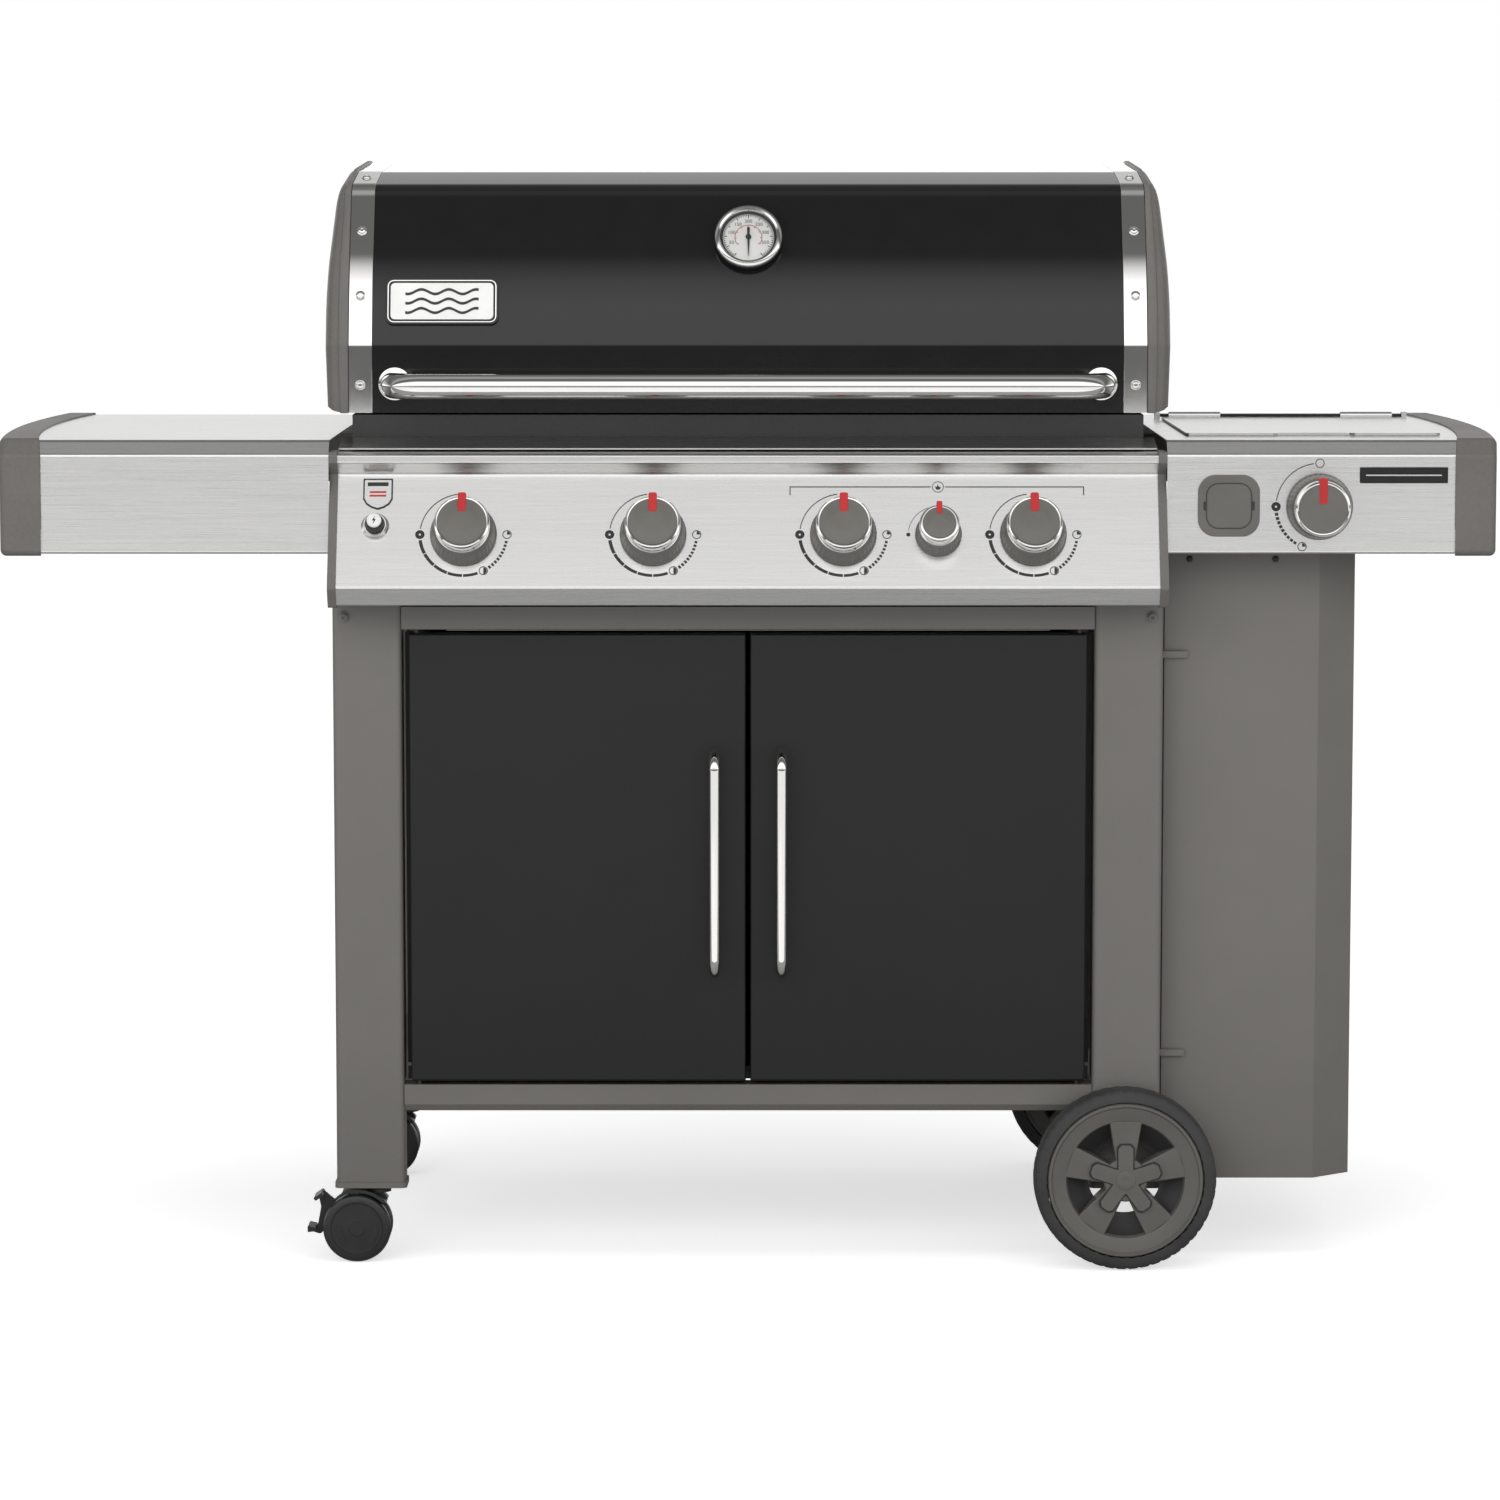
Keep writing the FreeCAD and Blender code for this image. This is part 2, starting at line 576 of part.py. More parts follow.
def make_gas():
    pipe_y, pipe_z = -243.0, 769.8
    inlet_x, inlet_shoulder = 350.0, 758.0
    pipe = rod(Vec(-380, pipe_y, pipe_z), Vec(392, pipe_y, pipe_z), 9)
    inlet = rod(Vec(inlet_x, pipe_y, inlet_shoulder), Vec(inlet_x, pipe_y, inlet_shoulder - 22), 7.94)
    shoulder = rod(Vec(inlet_x, pipe_y, pipe_z), Vec(inlet_x, pipe_y, inlet_shoulder), 11)
    side_feed = bent_rod([Vec(392, pipe_y, pipe_z), Vec(440, pipe_y, pipe_z), Vec(440, pipe_y, side_knob_z),
                          Vec(side_knob_x - 9, pipe_y - 20, side_knob_z)], 15, 4)
    save("gas_manifold", fused([pipe, shoulder, inlet]), side_feed)
    valves = []
    for x in list(main_knobs.values()) + [sear_x]:
        body = Part.makeCylinder(11, 46, Vec(0, 0, -82))
        body = body.cut(Part.makeCylinder(4 + running, 28, Vec(0, 0, -63)))
        body = leaning(body, x, knob_y, knob_z, panel_tilt)
        jet = rod(Vec(x, -258, 782), Vec(x, -223.5, 811), 5)
        valves.append(body.fuse(jet).cut(pipe))
    body = Part.makeCylinder(11, 34, Vec(0, 0, -56))
    body = body.cut(Part.makeCylinder(4 + running, 24, Vec(0, 0, -46)))
    body = leaning(body, side_knob_x, fascia, side_knob_z, 0)
    valves.append(body.cut(side_feed))
    save("gas_valves", *valves)


def make_grease_tray():
    half, y0, y1, z0, z1 = 365.0, -196.0, 246.0, 704.0, 730.0
    tray = box(-half, half, y0, y1, z0, z1)
    tray = tray.cut(frustum([(-half + 8, half - 8, y0 + 8, y1 - 8, z0 + 2),
                             (-half + 2, half - 2, y0 + 2, y1 - 2, z1 + 0.1)]))
    flange = box(-half - 9, half + 9, y0, y1, z1 - 1.6, z1).cut(box(-half, half, y0 - 1, y1 + 1, 690, 740))
    lips = [box(side, side + 8, y0, y1, 701.3, 705) for side in (-half - 8, half)]
    grip = bent_sheet("x", [(y1, z1 - 1), (y1 + 30, z1 - 1, 4), (y1 + 30, z1 - 18)], -sheet, -120, 120)
    save("grease_tray", fused([tray, grip] + lips))


# ---- lid ----------------------------------------------------------------
def lid_path(grow):
    """Side profile of the lid, from the front's foot over the roof to the rear's foot."""
    y = lid_front
    path = [(y, lid_bottom, 0), (y, 1010, 14), (y + 19, 1080, 300), (y + 72, 1182, 34), (y + 180, 1197, 160),
            (y + 410, 1207, 300), (y + 540, 1180, 120), (y + 606, 1100, 110), (y + 620.5, 1030, 90),
            (y + 620.5, lid_bottom, 0)]
    return offset_path(path, grow)


def make_lid():
    skin = bent_sheet("x", lid_path(0), -2.0, -skin_half + 0.2, skin_half - 0.2)
    inner_bore = leaning(Part.makeCylinder(9, 40, Vec(0, 0, -20)), 0.5, gauge_y, gauge_z, gauge_tilt)
    skin = skin.cut(inner_bore)
    save("lid_skin", skin)
    bands = []
    caps = []
    for side in (-1, 1):
        band = bent_sheet("x", lid_path(1.0), -3.0, skin_half, band_half)
        cap = prism("x", lid_path(3.5), band_half, cap_half)
        side_line = [(cap_half + 8, 900), (cap_half + 8, 1030, 300), (cap_half - 15, 1250)]
        taper = prism("y", [(400, 900)] + side_line + [(400, 1250)], -300, 400)
        cap = cap.common(taper)
        side_line = [(cap_half - 4, 900), (cap_half - 4, 1030, 300), (cap_half - 22, 1250)]
        pocket = prism("y", [(400, 900)] + side_line + [(400, 1250)], -300, 400)
        cap = cap.cut(pocket.common(prism("x", lid_path(-5), 400, 480)))
        pivot = rod(Vec(band_half - 9, hinge_y, hinge_z), Vec(cap_half - 3, hinge_y, hinge_z), 4.0)
        cap = cap.fuse(pivot)
        if side < 0:
            band = mirrored(band)
            cap = mirrored(cap)
        bands.append(band)
        caps.append(cap)
    save("lid_trim_bands", *bands)
    save("lid_end_caps", *caps)

    screws = []
    head = Part.makeCylinder(5.5, 3, Vec(0, 0, 1.1))
    head = head.makeFillet(2, [e for e in head.Edges if e.BoundBox.ZMin > 4])
    for side in (-1, 1):
        for z in (966.5, 1063, 1133):
            y, tilt = on_lid(z)
            screws.append(leaning(head, side * 423, y, z, tilt))
        screws.append(leaning(head, side * 423, lid_front + 126, 1189.5, 82))
    save("lid_screws", *screws)

    y = lid_front
    grip = bent_rod([Vec(-385, y - 9, 968), Vec(-385, y - 76, 968), Vec(385, y - 76, 968),
                     Vec(385, y - 9, 968)], 34, 14)
    grip = grip.cut(bent_rod([Vec(-385, y - 8, 968), Vec(-385, y - 76, 968), Vec(385, y - 76, 968),
                              Vec(385, y - 8, 968)], 34, 12.4))
    bezels = []
    for x in (-385, 385):
        bezels.append(rod(Vec(x, y, 968), Vec(x, y - 9, 968), 18.5))
    save("lid_handle", grip, *bezels)

    badge_z = 1056.5
    y, tilt = on_lid(badge_z)
    badge = prism("z", [(-61.7, -26, 9), (61.7, -26, 9), (61.7, 26, 9), (-61.7, 26, 9)], 1.0, 4.5)
    save("lid_badge", leaning(badge, -333.8, y, badge_z, tilt))

    case = Part.makeCylinder(37.5, 16, Vec(0, 0, 1)).cut(Part.makeCylinder(31, 12, Vec(0, 0, 9)))
    case = case.fuse(Part.makeCylinder(8, 60, Vec(0, 0, -58)))
    case = case.cut(Part.makeCylinder(1.5 + running, 14, Vec(0, 0, 0)))
    save("thermometer_case", leaning(case, 0.5, gauge_y, gauge_z, gauge_tilt))
    dial = Part.makeCylinder(30.8, 1.2, Vec(0, 0, 9)).cut(Part.makeCylinder(1.5 + running, 4, Vec(0, 0, 8)))
    save("thermometer_dial", leaning(dial, 0.5, gauge_y, gauge_z, gauge_tilt))
    needle = fused([Part.makeCylinder(1.5, 9, Vec(0, 0, 3)), Part.makeCylinder(3, 1.4, Vec(0, 0, 11)),
                    prism("z", [(-1.6, 12), (-0.5, -24), (0.5, -24), (1.6, 12)], 11.2, 12.2)])
    save("thermometer_needle", leaning(needle, 0.5, gauge_y, gauge_z, gauge_tilt))


def on_lid(z):
    """Depth and lean of the lid's front at a height below the shoulder."""
    path = lid_path(0)
    for low, high in zip(path, path[1:]):
        if low[1] <= z <= high[1]:
            share = (z - low[1]) / (high[1] - low[1])
            lean = math.degrees(math.atan2(high[0] - low[0], high[1] - low[1]))
            return low[0] + share * (high[0] - low[0]), lean
    return path[0][0], 0.0


gauge_z = 1122.0
gauge_y, gauge_tilt = on_lid(gauge_z)


# ---- wheels and casters -------------------------------------------------
def make_wheel(name, y):
    tyre_inner = 86.0
    y0, y1 = y - wheel_width / 2, y + wheel_width / 2
    centre = Vec(wheel_x, 0, wheel_r)
    outward = -1 if y < 0 else 1
    tyre = rod(centre + Vec(0, y0, 0), centre + Vec(0, y1, 0), wheel_r)
    tyre = tyre.makeFillet(7, [e for e in tyre.Edges if e.Length > 400 and len(e.Vertexes) == 1])
    tyre = tyre.cut(rod(centre + Vec(0, y0 - 1, 0), centre + Vec(0, y1 + 1, 0), tyre_inner))
    save(name.replace("wheel", "tyre"), tyre)
    barrel = rod(centre + Vec(0, y0 + 2, 0), centre + Vec(0, y1 - 2, 0), tyre_inner)
    barrel = barrel.cut(rod(centre + Vec(0, y0, 0), centre + Vec(0, y1, 0), 66))
    web = rod(centre + Vec(0, y - 6, 0), centre + Vec(0, y + 6, 0), 67)
    for i in range(5):
        window = prism("y", [(-9, 24, 5), (9, 24, 5), (27, 55, 9), (0, 64, 20), (-27, 55, 9)], y - 10, y + 10)
        window.rotate(Vec(0, 0, 0), Vec(0, 1, 0), 36 + i * 72)
        web = web.cut(window.translated(centre))
    hub = rod(centre + Vec(0, y0 + 2, 0), centre + Vec(0, y1 - 1, 0), 21)
    if outward > 0:
        hub = rod(centre + Vec(0, y0 + 1, 0), centre + Vec(0, y1 - 2, 0), 21)
    arms = []
    face = y + outward * (wheel_width / 2 - 4)
    for i in range(5):
        low, high = sorted((face, y + outward * 2))
        arm = prism("y", [(-7.5, 0), (7.5, 0), (7.5, 38, 3), (-7.5, 38, 3)], low, high)
        arm.rotate(Vec(0, 0, 0), Vec(0, 1, 0), i * 72)
        arms.append(arm.translated(centre))
    wheel = fused([barrel, web, hub] + arms)
    inner_end = y - outward * 40
    blind_end = outward * 317.3
    wheel = wheel.cut(rod(Vec(wheel_x, inner_end, wheel_r), Vec(wheel_x, blind_end, wheel_r), 8 + running))
    save(name, wheel)


def make_caster(name, y):
    stem_x, x, r = caster_stem_x, caster_wheel_x, caster_r
    stem = rod(Vec(stem_x, y, 66), Vec(stem_x, y, leg_bottom + 12), stem_r)
    collar = rod(Vec(stem_x, y, 76), Vec(stem_x, y, 80), 13)
    web = prism("y", [(stem_x + 12, 74, 5), (x + 12, 30, 11), (x - 12, 30, 11), (x - 14, 46, 5),
                      (brake_x - 6, 52, 6), (brake_x - 4, 62, 6), (x - 10, 74, 8)], y - 5.5, y - 0.5)
    hood = rod(Vec(x, y - 24, r), Vec(x, y + 24, r), r + 6)
    hood = hood.cut(rod(Vec(x, y - 30, r), Vec(x, y + 30, r), r + 2.5))
    hood = hood.common(box(x - 16, x + 60, y - 22, y + 22, 66, 90))
    axle = rod(Vec(x, y - 24, r), Vec(x, y + 24, r), 4)
    pin = rod(Vec(brake_x, y - 5, brake_z), Vec(brake_x, y + 5, brake_z), 2)
    tie = box(x - 8, stem_x + 10, y - 5.5, y + 5.5, 76.5, 80)
    save(name + "_fork", fused([stem, collar, web, hood, axle, pin, tie]))
    wheels = []
    for y0, y1 in ((y - 24, y - 6), (y + 6, y + 24)):
        disc = rod(Vec(x, y0, r), Vec(x, y1, r), r)
        disc = disc.makeFillet(3, [e for e in disc.Edges if e.Length > 200 and len(e.Vertexes) == 1])
        wheels.append(disc.cut(rod(Vec(x, y0 - 1, r), Vec(x, y1 + 1, r), 4 + running)))
    save(name + "_wheel", *wheels)
    lever = prism("y", [(brake_x + 4, brake_z - 5, 3), (brake_x + 4, brake_z + 6, 3), (x - 38, 76, 2),
                        (x - 44, 72, 2), (brake_x - 18, 58, 4), (x - 45, 36, 3), (x - 54, 38, 2),
                        (x - 54, 31, 2), (x - 42, 27, 4)], y + 0.5, y + 5)
    press = [(x - 39.5, 76, 1), (x - 48.5, 70, 1), (x - 46, 67, 1), (x - 37, 73, 1)]
    release = [(x - 55, 39, 1), (x - 46, 37, 1), (x - 46, 33, 1), (x - 55, 32, 1)]
    treads = [prism("y", outline, y - 15, y + 15) for outline in (press, release)]
    lever = fused([lever] + treads)
    lever = lever.cut(rod(Vec(brake_x, y, brake_z), Vec(brake_x, y + 6, brake_z), 2 + running))
    save(name + "_brake", lever)


def main():
    os.makedirs("parts", exist_ok=True)
    make_cart()
    make_cabinet()
    make_door(-1)
    make_door(1)
    make_tank_panel()
    make_tables()
    make_side_burner()
    make_panel()
    make_knobs()
    make_cookbox()
    make_gas()
    make_grease_tray()
    make_lid()
    make_wheel("front_wheel", -wheel_y)
    make_wheel("rear_wheel", wheel_y)
    make_caster("front_caster", -caster_y)
    make_caster("rear_caster", caster_y)


main()
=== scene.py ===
import json
import math
import bmesh
import bpy
from mathutils import Matrix, Vector


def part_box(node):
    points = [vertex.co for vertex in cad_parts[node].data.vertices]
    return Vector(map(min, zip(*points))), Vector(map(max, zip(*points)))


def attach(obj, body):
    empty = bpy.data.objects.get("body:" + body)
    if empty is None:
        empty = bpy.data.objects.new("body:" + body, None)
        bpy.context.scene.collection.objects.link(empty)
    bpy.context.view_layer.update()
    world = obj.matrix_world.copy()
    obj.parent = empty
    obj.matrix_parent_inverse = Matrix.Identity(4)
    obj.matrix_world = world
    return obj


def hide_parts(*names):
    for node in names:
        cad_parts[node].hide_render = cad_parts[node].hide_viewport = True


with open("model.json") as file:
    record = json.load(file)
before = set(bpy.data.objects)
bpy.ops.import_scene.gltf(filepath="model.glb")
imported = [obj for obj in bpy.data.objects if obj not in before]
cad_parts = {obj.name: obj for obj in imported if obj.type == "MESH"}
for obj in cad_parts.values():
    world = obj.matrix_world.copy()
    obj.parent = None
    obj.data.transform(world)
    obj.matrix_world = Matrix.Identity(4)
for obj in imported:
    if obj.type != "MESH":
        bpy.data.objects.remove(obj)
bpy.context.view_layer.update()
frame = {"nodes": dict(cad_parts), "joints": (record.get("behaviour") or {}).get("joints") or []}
nodes = frame["nodes"]
joints = {joint["name"]: joint for joint in frame["joints"]}
print("frame loaded:", len(nodes), "nodes")


# shader expressions
class Wire:
    def __init__(self, finish, socket):
        self.finish = finish
        self.socket = socket

    def join(self, kind, first, second):
        made = self.finish.node("ShaderNodeMath", {"operation": kind}, {0: first, 1: second})
        return self.finish.wire(made)

    def __add__(self, other):
        return self.join("ADD", self, other)

    def __radd__(self, other):
        return self.join("ADD", other, self)

    def __sub__(self, other):
        return self.join("SUBTRACT", self, other)

    def __rsub__(self, other):
        return self.join("SUBTRACT", other, self)

    def __mul__(self, other):
        return self.join("MULTIPLY", self, other)

    def __rmul__(self, other):
        return self.join("MULTIPLY", other, self)

    def above(self, other):
        return self.join("GREATER_THAN", self, other)


class Finish:  # builds the nodes of a material, or of the world if one is given
    def __init__(self, name, world=None):
        self.material = world or bpy.data.materials.new(name)
        self.material.use_nodes = True
        self.tree = self.material.node_tree
        self.tree.nodes.clear()
        self.place = None

    def node(self, kind, settings=None, inputs=None):
        made = self.tree.nodes.new(kind)
        for key, value in (settings or {}).items():
            if key == "stops":
                self.fillRamp(made.color_ramp, value)
            else:
                setattr(made, key, value)
        for key, value in (inputs or {}).items():
            if isinstance(value, Wire):
                self.tree.links.new(value.socket, made.inputs[key])
            else:
                made.inputs[key].default_value = value
        return made

    def fillRamp(self, ramp, stops):
        while len(ramp.elements) < len(stops):
            ramp.elements.new(0.5)
        for element, (position, value) in zip(ramp.elements, stops):
            element.position = position
            element.color = (value, value, value, 1) if isinstance(value, float) else (*value, 1)

    def wire(self, made, output=0):
        return Wire(self, made.outputs[output])

    def where(self, scale=(1, 1, 1)):  # object space, stretched
        if self.place is None:
            self.place = self.wire(self.node("ShaderNodeTexCoord"), "Object")
        made = self.node("ShaderNodeMapping", {}, {"Vector": self.place, "Scale": scale})
        return self.wire(made)

    def noise(self, scale, detail=3.0, stretch=(1, 1, 1), rough=0.55):
        inputs = {"Vector": self.where(stretch), "Scale": scale, "Detail": detail, "Roughness": rough}
        return self.wire(self.node("ShaderNodeTexNoise", {}, inputs), "Fac")

    def ramp(self, value, stops):
        return self.wire(self.node("ShaderNodeValToRGB", {"stops": stops}, {"Fac": value}))

    def blend(self, mask, first, second):
        inputs = {0: mask, 6: asColour(first), 7: asColour(second)}
        return self.wire(self.node("ShaderNodeMix", {"data_type": "RGBA"}, inputs), 2)

    def bump(self, height, strength, distance=0.0004):
        inputs = {"Height": height, "Strength": strength, "Distance": distance}
        return self.wire(self.node("ShaderNodeBump", {}, inputs))

    def surface(self, inputs):
        shader = self.node("ShaderNodeBsdfPrincipled", {}, inputs)
        output = self.node("ShaderNodeOutputMaterial")
        self.tree.links.new(shader.outputs[0], output.inputs[0])
        return self.material


def asColour(value):
    return value if isinstance(value, Wire) else (*value, 1)


# finishes
brushedLook = {"dark": (0.62, 0.615, 0.605), "light": (0.77, 0.765, 0.755), "rough": 0.26}


def brushedSteel(name):  # the brushing runs along X
    made = Finish(name)
    stretch = (2, 260, 260)
    fine = made.noise(6.0, 4.0, stretch, 0.7)
    wide = made.noise(3.2, 3.0, tuple(k * 0.6 for k in stretch))
    cloud = made.noise(2.2, 2.0)
    streak = fine * 0.70 + wide * 0.20 + cloud * 0.10
    colour = made.ramp(streak, [(0.30, brushedLook["dark"]), (0.70, brushedLook["light"])])
    rough = streak * 0.16 + (brushedLook["rough"] - 0.06)
    return made.surface({"Base Color": colour, "Metallic": 1.0, "Roughness": rough,
                         "Normal": made.bump(fine, 0.05, 0.00015)})


chromeLook = {"tint": (0.80, 0.795, 0.78), "smudge": (0.70, 0.69, 0.675), "rough": 0.055}


def polishedChrome(name):
    made = Finish(name)
    smudge = made.noise(14.0, 4.0)
    colour = made.blend(smudge, chromeLook["tint"], chromeLook["smudge"])
    rough = smudge * 0.07 + chromeLook["rough"] * 0.5
    return made.surface({"Base Color": colour, "Metallic": 1.0, "Roughness": rough,
                         "Normal": made.bump(made.noise(5.0), 0.02, 0.001)})


def powderCoat(name, tone, rough=0.45, grain=900.0, depth=0.22, shine=0.5):
    made = Finish(name)
    cells = made.noise(grain, 2.0)
    cloud = made.noise(3.0, 3.0)
    scuff = made.noise(26.0, 5.0)
    low = tuple(c * 0.90 for c in tone)
    high = tuple(min(c * 1.10 + 0.002, 1) for c in tone)
    colour = made.ramp(cloud * 0.6 + cells * 0.25 + scuff * 0.15, [(0.3, low), (0.7, high)])
    inputs = {"Base Color": colour, "Roughness": scuff * 0.14 + cells * 0.06 + (rough - 0.1),
              "Specular IOR Level": shine, "Normal": made.bump(cells, depth, 0.0003)}
    return made.surface(inputs)


def glossEnamel(name, tone=(0.0090, 0.0090, 0.0094)):
    made = Finish(name)
    peel = made.noise(130.0, 2.0)
    dust = made.noise(38.0, 6.0)
    colour = made.ramp(dust, [(0.35, tone), (0.75, tuple(c * 1.12 for c in tone))])
    return made.surface({"Base Color": colour, "Roughness": dust * 0.03 + 0.09,
                         "Specular IOR Level": 0.36, "Normal": made.bump(peel, 0.05, 0.0003)})


def mouldedPlastic(name, tone, rough=0.5, grain=1400.0, depth=0.16):
    made = Finish(name)
    grainy = made.noise(grain, 2.0)
    handled = made.noise(18.0, 4.0)
    high = tuple(min(c * 1.12 + 0.004, 1) for c in tone)
    colour = made.ramp(handled * 0.7 + grainy * 0.3, [(0.3, tuple(c * 0.92 for c in tone)), (0.7, high)])
    return made.surface({"Base Color": colour, "Roughness": handled * 0.16 + (rough - 0.08),
                         "Normal": made.bump(grainy, depth, 0.0002)})


def tyreRubber(name):
    made = Finish(name)
    pores = made.noise(700.0, 3.0)
    dust = made.noise(24.0, 5.0)
    colour = made.ramp(dust, [(0.3, (0.032, 0.032, 0.033)), (0.75, (0.052, 0.051, 0.050))])
    return made.surface({"Base Color": colour, "Roughness": dust * 0.2 + 0.55,
                         "Normal": made.bump(pores, 0.35, 0.0003)})


def castMetal(name, tone, rough=0.55, metallic=0.0):
    made = Finish(name)
    lumps = made.noise(320.0, 4.0)
    cloud = made.noise(9.0, 4.0)
    high = tuple(min(c * 1.35 + 0.004, 1) for c in tone)
    colour = made.ramp(cloud * 0.6 + lumps * 0.4, [(0.3, tone), (0.72, high)])
    return made.surface({"Base Color": colour, "Metallic": metallic, "Roughness": cloud * 0.2 + (rough - 0.1),
                         "Normal": made.bump(lumps, 0.4, 0.0006)})


def printedInk(name, tone):
    made = Finish(name)
    fleck = made.noise(900.0, 3.0)
    colour = made.ramp(fleck, [(0.3, tone), (0.8, tuple(c + 0.02 for c in tone))])
    return made.surface({"Base Color": colour, "Roughness": fleck * 0.2 + 0.4})


def clearGlass(name):
    made = Finish(name)
    haze = made.noise(40.0, 4.0)
    edge = made.wire(made.node("ShaderNodeFresnel", {}, {"IOR": 1.45}))
    clear = made.node("ShaderNodeBsdfTransparent")
    shine = made.node("ShaderNodeBsdfPrincipled", {}, {"Base Color": (0.9, 0.9, 0.9, 1), "Metallic": 1.0,
                                                       "Roughness": haze * 0.06 + 0.02})
    mixed = made.node("ShaderNodeMixShader",
                      {}, {"Fac": edge * 0.75, 1: made.wire(clear), 2: made.wire(shine)})
    output = made.node("ShaderNodeOutputMaterial")
    made.tree.links.new(mixed.outputs[0], output.inputs[0])
    return made.material


finishes = {
    "steelAcross": brushedSteel("steelAcross"),
    "chrome": polishedChrome("chrome"),
    "graphite": powderCoat("graphite", (0.163, 0.155, 0.143), 0.46, shine=0.4),
    "doorBlack": powderCoat("doorBlack", (0.0046, 0.0046, 0.0048), 0.44, depth=0.08, shine=0.38),
    "innerBlack": powderCoat("innerBlack", (0.018, 0.018, 0.018), 0.45),
    "enamel": glossEnamel("enamel"),
    "capCasting": castMetal("capCasting", (0.108, 0.102, 0.094), 0.46),
    "boxCasting": castMetal("boxCasting", (0.020, 0.020, 0.020), 0.42),
    "grateIron": castMetal("grateIron", (0.018, 0.018, 0.018), 0.5),
    "brass": castMetal("brass", (0.52, 0.36, 0.13), 0.4, 1.0),
    "panMetal": castMetal("panMetal", (0.50, 0.50, 0.50), 0.4, 1.0),
    "plastic": mouldedPlastic("plastic", (0.118, 0.112, 0.102), 0.46),
    "knobPlastic": mouldedPlastic("knobPlastic", (0.118, 0.112, 0.100), 0.36, depth=0.06),
    "casterPlastic": mouldedPlastic("casterPlastic", (0.020, 0.020, 0.021), 0.42),
    "redInsert": mouldedPlastic("redInsert", (0.44, 0.008, 0.010), 0.42, depth=0.05),
    "whitePlastic": mouldedPlastic("whitePlastic", (0.70, 0.70, 0.68), 0.36, depth=0.05),
    "dialFace": mouldedPlastic("dialFace", (0.78, 0.78, 0.76), 0.5, depth=0.03),
    "rubber": tyreRubber("rubber"),
    "blackInk": printedInk("blackInk", (0.012, 0.012, 0.012)),
    "redInk": printedInk("redInk", (0.42, 0.02, 0.02)),
    "glass": clearGlass("glass"),
}
print("finishes made:", len(finishes))


# mesh making
def addPiece(name, bm, body, finish, slot, sharp=32, bevel=0.0, stands=()):
    bmesh.ops.recalc_face_normals(bm, faces=bm.faces)
    mesh = bpy.data.meshes.new(name)
    bm.to_mesh(mesh)
    bm.free()
    mesh.shade_smooth()
    mesh.set_sharp_from_angle(angle=math.radians(sharp))
    mesh.materials.append(finishes[finish])
    piece = bpy.data.objects.new(name, mesh)
    bpy.context.scene.collection.objects.link(piece)
    if bevel:
        rounding = piece.modifiers.new("rounding", "BEVEL")
        rounding.width = bevel
        rounding.segments = 2
        rounding.limit_method = "ANGLE"
        rounding.angle_limit = math.radians(35)
        rounding.harden_normals = True
    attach(piece, body)
    if stands:
        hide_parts(*stands)


def lathe(bm, profile, steps=64, ripple=None):
    rings = []
    for radius, height in profile:
        if radius < 1e-7:
            rings.append([bm.verts.new((0, 0, height))])
            continue
        ring = []
        for i in range(steps):
            angle = math.tau * i / steps
            reach = radius + (ripple(angle, height) if ripple else 0)
            ring.append(bm.verts.new((reach * math.cos(angle), reach * math.sin(angle), height)))
        rings.append(ring)
    for low, high in zip(rings, rings[1:]):
        for i in range(steps):
            j = (i + 1) % steps
            if len(low) == 1 and len(high) == 1:
                break
            if len(low) == 1:
                bm.faces.new((low[0], high[j], high[i]))
            elif len(high) == 1:
                bm.faces.new((low[i], low[j], high[0]))
            else:
                bm.faces.new((low[i], low[j], high[j], high[i]))


def slab(bm, outline, low, high):
    bottom = [bm.verts.new((x, y, low)) for x, y in outline]
    top = [bm.verts.new((x, y, high)) for x, y in outline]
    count = len(outline)
    bm.faces.new(list(reversed(bottom)))
    bm.faces.new(top)
    for i in range(count):
        j = (i + 1) % count
        bm.faces.new((bottom[i], bottom[j], top[j], top[i]))


def roundedBox(width, height, radius, steps=6):
    points = []
    for cx, cy, turn in ((1, 1, 0), (-1, 1, 90), (-1, -1, 180), (1, -1, 270)):
        for i in range(steps + 1):
            angle = math.radians(turn + 90 * i / steps)
            points.append((cx * (width / 2 - radius) + radius * math.cos(angle),
                           cy * (height / 2 - radius) + radius * math.sin(angle)))
    return points


def arcBand(inner, outer, startDeg, endDeg, steps=24):
    angles = [math.radians(startDeg + (endDeg - startDeg) * i / steps) for i in range(steps + 1)]
    out = [(outer * math.cos(a), outer * math.sin(a)) for a in angles]
    back = [(inner * math.cos(a), inner * math.sin(a)) for a in reversed(angles)]
    return out + back


def grid(bm, rows, closed=False):
    made = [[bm.verts.new(p) for p in row] for row in rows]
    for low, high in zip(made, made[1:]):
        span = len(low) if closed else len(low) - 1
        for i in range(span):
            j = (i + 1) % len(low)
            bm.faces.new((low[i], low[j], high[j], high[i]))
    return made


def tube(bm, points, radius, steps=20):
    rings = []
    last = None
    for i, point in enumerate(points):
        ahead = points[min(i + 1, len(points) - 1)] - points[max(i - 1, 0)]
        ahead.normalize()
        side = last or ahead.orthogonal()
        side = (side - ahead * side.dot(ahead)).normalized()
        last = side
        up = ahead.cross(side)
        rings.append([point + (side * math.cos(a) + up * math.sin(a)) * radius
                      for a in (math.tau * k / steps for k in range(steps))])
    made = grid(bm, rings, closed=True)
    bm.faces.new(list(reversed(made[0])))
    bm.faces.new(made[-1])


